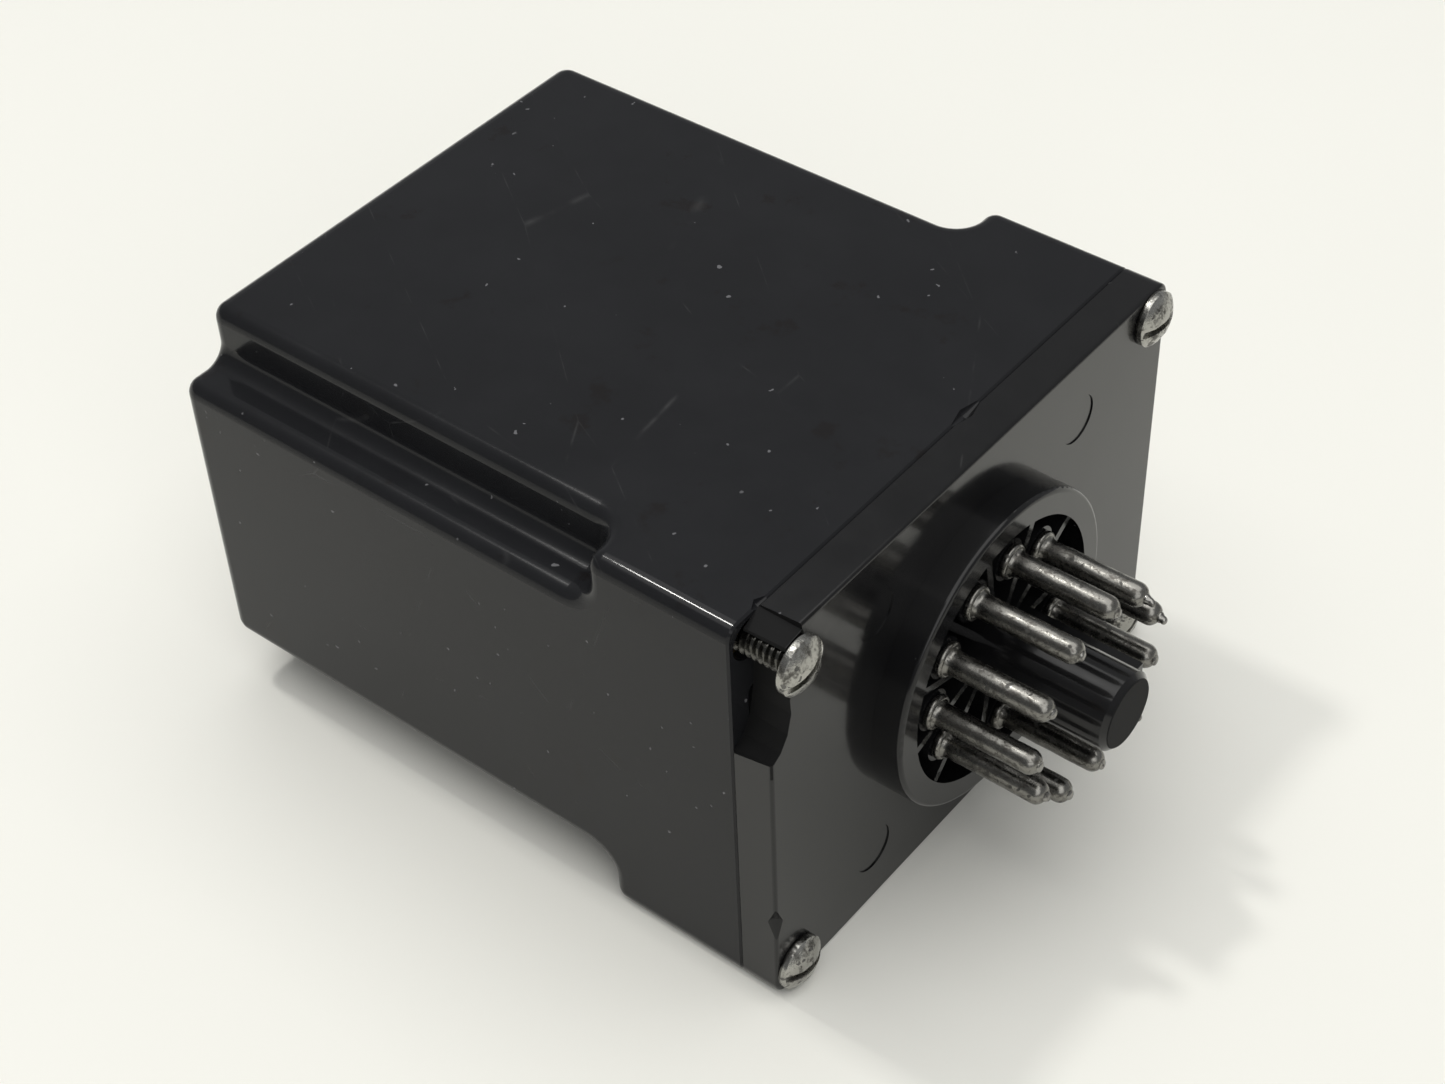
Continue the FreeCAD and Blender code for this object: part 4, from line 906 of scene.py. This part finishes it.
@dataclass
class CoverScrew:
    """A slotted pan-head screw with a helical thread.

    Args:
        finish: The screw's finish.
        corner: Which corner it holds.
        slot_angle: Turn of the slot in degrees, 0 along Y.
        head_radius: Radius of the head.
        head_height: Height of the head in its middle.
        head_rim: Height of the head's straight rim.
        head_edge: Rounding where the rim meets the seat.
        head_segments: Faces round the head.
        shank_radius: Radius over the thread's crests.
        thread_depth: From the crests to the roots.
        thread_steps: Faces in one turn of the thread.
        pitch: Length of one turn.
        slot_width: Width of the slot.
        slot_depth: Depth of the slot in the head's middle.
        worn_edge: Width of the bevel on the head's edges.
    """

    finish: Finish
    corner: Corner
    slot_angle: float
    head_radius: float = 2.75 * MM
    head_height: float = 1.75 * MM
    head_rim: float = 0.7 * MM
    head_edge: float = 0.12 * MM
    head_segments: int = 72
    shank_radius: float = 1.42 * MM
    thread_depth: float = 0.33 * MM
    thread_steps: int = 32
    pitch: float = 0.64 * MM
    slot_width: float = 0.75 * MM
    slot_depth: float = 0.95 * MM
    worn_edge: float = 0.07 * MM

    def extent(self) -> tuple[Vector, Vector]:
        """Returns the box of this screw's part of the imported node."""
        sy, sz = self.corner.value
        places = [v.co for v in frame["nodes"]["cover_screws"].data.vertices
                  if v.co.y * sy > 0 and v.co.z * sz > 0]
        low = Vector([min(p[axis] for p in places) for axis in range(3)])
        high = Vector([max(p[axis] for p in places) for axis in range(3)])
        return low, high

    def head(self, seat: float, y: float, z: float) -> bpy.types.Mesh:
        """Makes the head with its slot cut.

        Args:
            seat: x of the head's underside.
            y: Place of the screw's axis.
            z: Place of the screw's axis.

        Returns:
            The head's mesh, not yet bevelled.
        """
        radius = self.head_radius
        edge = self.head_edge
        rise = self.head_height - self.head_rim
        crown = (radius * radius + rise * rise) / (2.0 * rise)
        outline = [(seat, 0.0), (seat, radius - edge)]
        outline += rounding(seat + edge, radius - edge, edge, 180.0, 90.0, 4)[1:]
        steps = 14
        sweep = math.asin(radius / crown)
        for step in range(steps + 1):
            angle = sweep * (1.0 - step / steps)
            outline.append((seat + self.head_height - crown * (1.0 - math.cos(angle)),
                            crown * math.sin(angle)))
        mesh = lathe(outline, y, z, self.head_segments)
        head = finished_object("head_work", mesh, self.finish)
        cutter = bmesh.new()
        bmesh.ops.create_cube(cutter, size=1.0)
        floor = seat + self.head_height - self.slot_depth
        size = Vector((2.0 * MM, 3.0 * radius, self.slot_width))
        turn = Matrix.Rotation(math.radians(self.slot_angle), 4, "X")
        shift = Matrix.Translation((floor + size.x / 2, y, z))
        place = shift @ turn @ Matrix.Diagonal((*size, 1.0))
        bmesh.ops.transform(cutter, matrix=place, verts=cutter.verts)
        tool = finished_object("slot_work", cutter, self.finish)
        cut = head.modifiers.new("slot", "BOOLEAN")
        cut.operation = "DIFFERENCE"
        cut.solver = "EXACT"
        cut.object = tool
        depsgraph = bpy.context.evaluated_depsgraph_get()
        shaped = bpy.data.meshes.new_from_object(head.evaluated_get(depsgraph))
        bpy.data.objects.remove(head)
        bpy.data.objects.remove(tool)
        return shaped

    def thread(self, low_x: float, high_x: float, y: float, z: float) -> bmesh.types.BMesh:
        """Makes the shank as one helical strip from its point to the head.

        Args:
            low_x: x of the point.
            high_x: x where the thread ends, inside the head.
            y: Place of the screw's axis.
            z: Place of the screw's axis.

        Returns:
            The shank's bmesh.
        """
        steps = self.thread_steps
        crest = self.shank_radius
        root = crest - self.thread_depth
        section = ((0.0, root), (0.16, root), (0.44, crest), (0.56, crest), (0.84, root))
        turns = (high_x - low_x) / self.pitch - 1.0
        mesh = bmesh.new()
        rows = []
        for step in range(int(turns * steps) + 1):
            angle = 2.0 * math.pi * step / steps
            start = low_x + self.pitch * step / steps
            fade = min(1.0, 0.55 + step / steps / 3.0)
            row = []
            for share, radius in section:
                reach = root * fade + (radius - root)
                place = (start + share * self.pitch, y + reach * math.cos(angle),
                         z + reach * math.sin(angle))
                row.append(mesh.verts.new(place))
            rows.append(row)
        for step, (row, following) in enumerate(zip(rows, rows[1:])):
            for a, b, c, d in zip(row, row[1:], following[1:], following):
                mesh.faces.new((a, b, c, d))
            if step + steps + 1 < len(rows):
                next_turn = rows[step + steps][0]
                next_following = rows[step + steps + 1][0]
                mesh.faces.new((row[-1], next_turn, next_following, following[-1]))
        ends = [edge for edge in mesh.edges if edge.is_boundary]
        bmesh.ops.holes_fill(mesh, edges=ends, sides=0)
        return mesh

    def build(self) -> bpy.types.Object:
        """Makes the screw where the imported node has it."""
        low, high = self.extent()
        sy, sz = self.corner.value
        y = (high.y if sy > 0 else low.y) - sy * self.head_radius
        z = (high.z if sz > 0 else low.z) - sz * self.head_radius
        seat = high.x - self.head_height
        mesh = bmesh.new()
        mesh.from_mesh(self.head(seat, y, z))
        rims = [edge for edge in mesh.edges
                if len(edge.link_faces) == 2
                and edge.calc_face_angle(0.0) > math.radians(RIM_ANGLE)]
        bmesh.ops.bevel(mesh, geom=rims, offset=self.worn_edge, offset_type="OFFSET",
                        affect="EDGES", segments=3, profile=0.5, material=-1, clamp_overlap=True)
        roughen(mesh, 0.035 * MM, 0.7 * MM, self.slot_angle, seat + 0.2 * MM)
        shank = self.thread(low.x, seat + 0.3 * MM, y, z)
        spare = bpy.data.meshes.new("shank_work")
        shank.to_mesh(spare)
        shank.free()
        mesh.from_mesh(spare)
        screw = finished_object("cover_screw_" + self.corner.name.lower(), mesh, self.finish,
                                smooth_angle=30.0)
        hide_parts("cover_screws")
        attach(screw, BODY)
        return screw


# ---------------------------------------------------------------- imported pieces


@dataclass
class PackedPieces:
    """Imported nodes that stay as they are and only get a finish.

    Args:
        finishes: The finish of every slot.
    """

    finishes: dict[Slot, Finish]

    def dress(self) -> int:
        """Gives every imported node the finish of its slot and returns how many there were."""
        count = 0
        for entry in frame["record"]["subparts"]:
            node = frame["nodes"].get(entry["node"])
            if node is None:
                continue
            finish = self.finishes[Slot(entry["material_slot"])]
            if not node.material_slots:
                node.data.materials.append(finish.material())
            for slot in node.material_slots:
                slot.material = finish.material()
            count += 1
        return count


# ---------------------------------------------------------------- floor, light and camera


@dataclass(frozen=True)
class Lamp:
    """A square area light that faces the object.

    Args:
        name: The lamp's name.
        place: Where it stands.
        size: Length of its side.
        power: Its power in watts.
        colour: Its colour.
    """

    name: str
    place: Place
    size: float
    power: float
    colour: Colour

    def build(self) -> None:
        """Adds the lamp to the scene."""
        data = bpy.data.lights.new(self.name, "AREA")
        data.shape = "SQUARE"
        data.size = self.size
        data.energy = self.power
        data.color = self.colour
        lamp = bpy.data.objects.new(self.name, data)
        lamp.location = self.place
        lamp.rotation_euler = (-Vector(self.place)).to_track_quat("-Z", "Y").to_euler()
        bpy.context.scene.collection.objects.link(lamp)


LAMPS = (
    Lamp("key", (-0.5, -0.02, 0.95), 0.08, 2.3, (1.0, 0.985, 0.95)),
    Lamp("overhead", (0.0, 0.06, 1.5), 1.9, 17.5, (1.0, 0.99, 0.97)),
    Lamp("fill", (1.0, -0.8, 0.9), 1.2, 6.5, (1.0, 0.995, 0.98)),
)


@dataclass
class Studio:
    """A pale floor, soft light from above and the camera.

    Args:
        floor_colour: Colour of the floor.
        floor_size: Length of the floor's side.
        ambient: Strength of the light from the bright side of the room.
        ambient_near: Strength of the light from the dark, near side.
        bright_way: Direction of the bright side.
        bright_span: Share of that direction at which the light starts to rise, and is full.
        camera_place: Camera position.
        camera_turn: Camera rotation in degrees, XYZ.
        lens: Focal length in millimetres for a 36 mm wide sensor.
    """

    floor_colour: Colour = (0.855, 0.85, 0.795)
    floor_size: float = 6.0
    ambient: float = 0.36
    ambient_near: float = 0.2
    bright_way: Place = (0.1, 0.62, 0.6)
    bright_span: tuple[float, float] = (-0.12, 0.42)
    camera_place: Place = (0.086509, -0.141244, 0.168885)
    camera_turn: Place = (46.75, 1.876, 38.422)
    lens: float = 64.386

    def floor(self) -> None:
        """Makes the floor just under the object."""
        low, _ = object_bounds()
        mesh = bmesh.new()
        bmesh.ops.create_grid(mesh, x_segments=1, y_segments=1, size=self.floor_size / 2)
        bmesh.ops.translate(mesh, verts=mesh.verts, vec=(0.0, 0.0, low[2]))
        data = bpy.data.meshes.new("floor")
        mesh.to_mesh(data)
        mesh.free()
        floor = bpy.data.objects.new("floor", data)
        bpy.context.scene.collection.objects.link(floor)
        paper = bpy.data.materials.new("floor_paper")
        paper.use_nodes = True
        graph = Graph(paper.node_tree)
        place = graph.add("ShaderNodeTexCoord").outputs["Object"]
        clouds = graph.noise(place, 9.0, 2.0)
        base = graph.mix(graph.ramp(clouds, 0.3, 0.7), self.floor_colour,
                         tuple(c * 0.985 for c in self.floor_colour))
        shader = graph.add("ShaderNodeBsdfPrincipled", {"Base Color": base, "Roughness": 0.6})
        graph.add("ShaderNodeOutputMaterial", {"Surface": shader.outputs[0]})
        data.materials.append(paper)
        floor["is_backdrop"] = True

    def world(self) -> None:
        """Sets a slightly cool light from above and beyond, with a dark room on the near side."""
        world = bpy.data.worlds.new("room")
        world.use_nodes = True
        graph = Graph(world.node_tree)
        way = graph.add("ShaderNodeTexCoord").outputs["Generated"]
        slope = graph.add("ShaderNodeVectorMath", {0: way, 1: self.bright_way},
                          operation="DOT_PRODUCT")
        strength = graph.ramp(slope.outputs["Value"], *self.bright_span, self.ambient_near,
                              self.ambient)
        light = graph.add("ShaderNodeBackground",
                          {"Color": (0.97, 0.985, 1.0, 1.0), "Strength": strength})
        graph.add("ShaderNodeOutputWorld", {"Surface": light.outputs[0]})
        bpy.context.scene.world = world

    def camera(self) -> None:
        """Places the camera and makes it the scene's."""
        data = bpy.data.cameras.new("camera")
        data.lens = self.lens
        data.sensor_width = 36.0
        data.clip_start = 0.005
        data.clip_end = 20.0
        camera = bpy.data.objects.new("camera", data)
        camera.location = self.camera_place
        camera.rotation_euler = Euler([math.radians(a) for a in self.camera_turn], "XYZ")
        bpy.context.scene.collection.objects.link(camera)
        bpy.context.scene.camera = camera

    def build(self) -> None:
        """Makes the floor, the lights and the camera."""
        self.floor()
        self.world()
        for lamp in LAMPS:
            lamp.build()
        self.camera()
        bpy.context.scene.view_settings.view_transform = "Standard"


# ---------------------------------------------------------------- the relay


def main() -> None:
    """Builds every piece and the studio."""
    logging.basicConfig(level=logging.INFO, format="%(message)s")
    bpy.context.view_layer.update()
    palette = finishes()
    dressed = PackedPieces(palette).dress()
    log.info("packed pieces dressed: %d", dressed)
    pins = PlugPins(palette[Slot.PIN]).build(-COLLAR_DROP)
    log.info("plug pins: %d", len(pins))
    beads = SolderBeads(palette[Slot.SOLDER]).build()
    log.info("solder beads: %d", len(beads))
    for corner, angle in SLOT_ANGLES.items():
        screw = CoverScrew(palette[Slot.COVER_SCREW], corner, angle).build()
        log.info("cover screw: %s", screw.name)
    Studio().build()


if __name__ == "__main__":
    main()
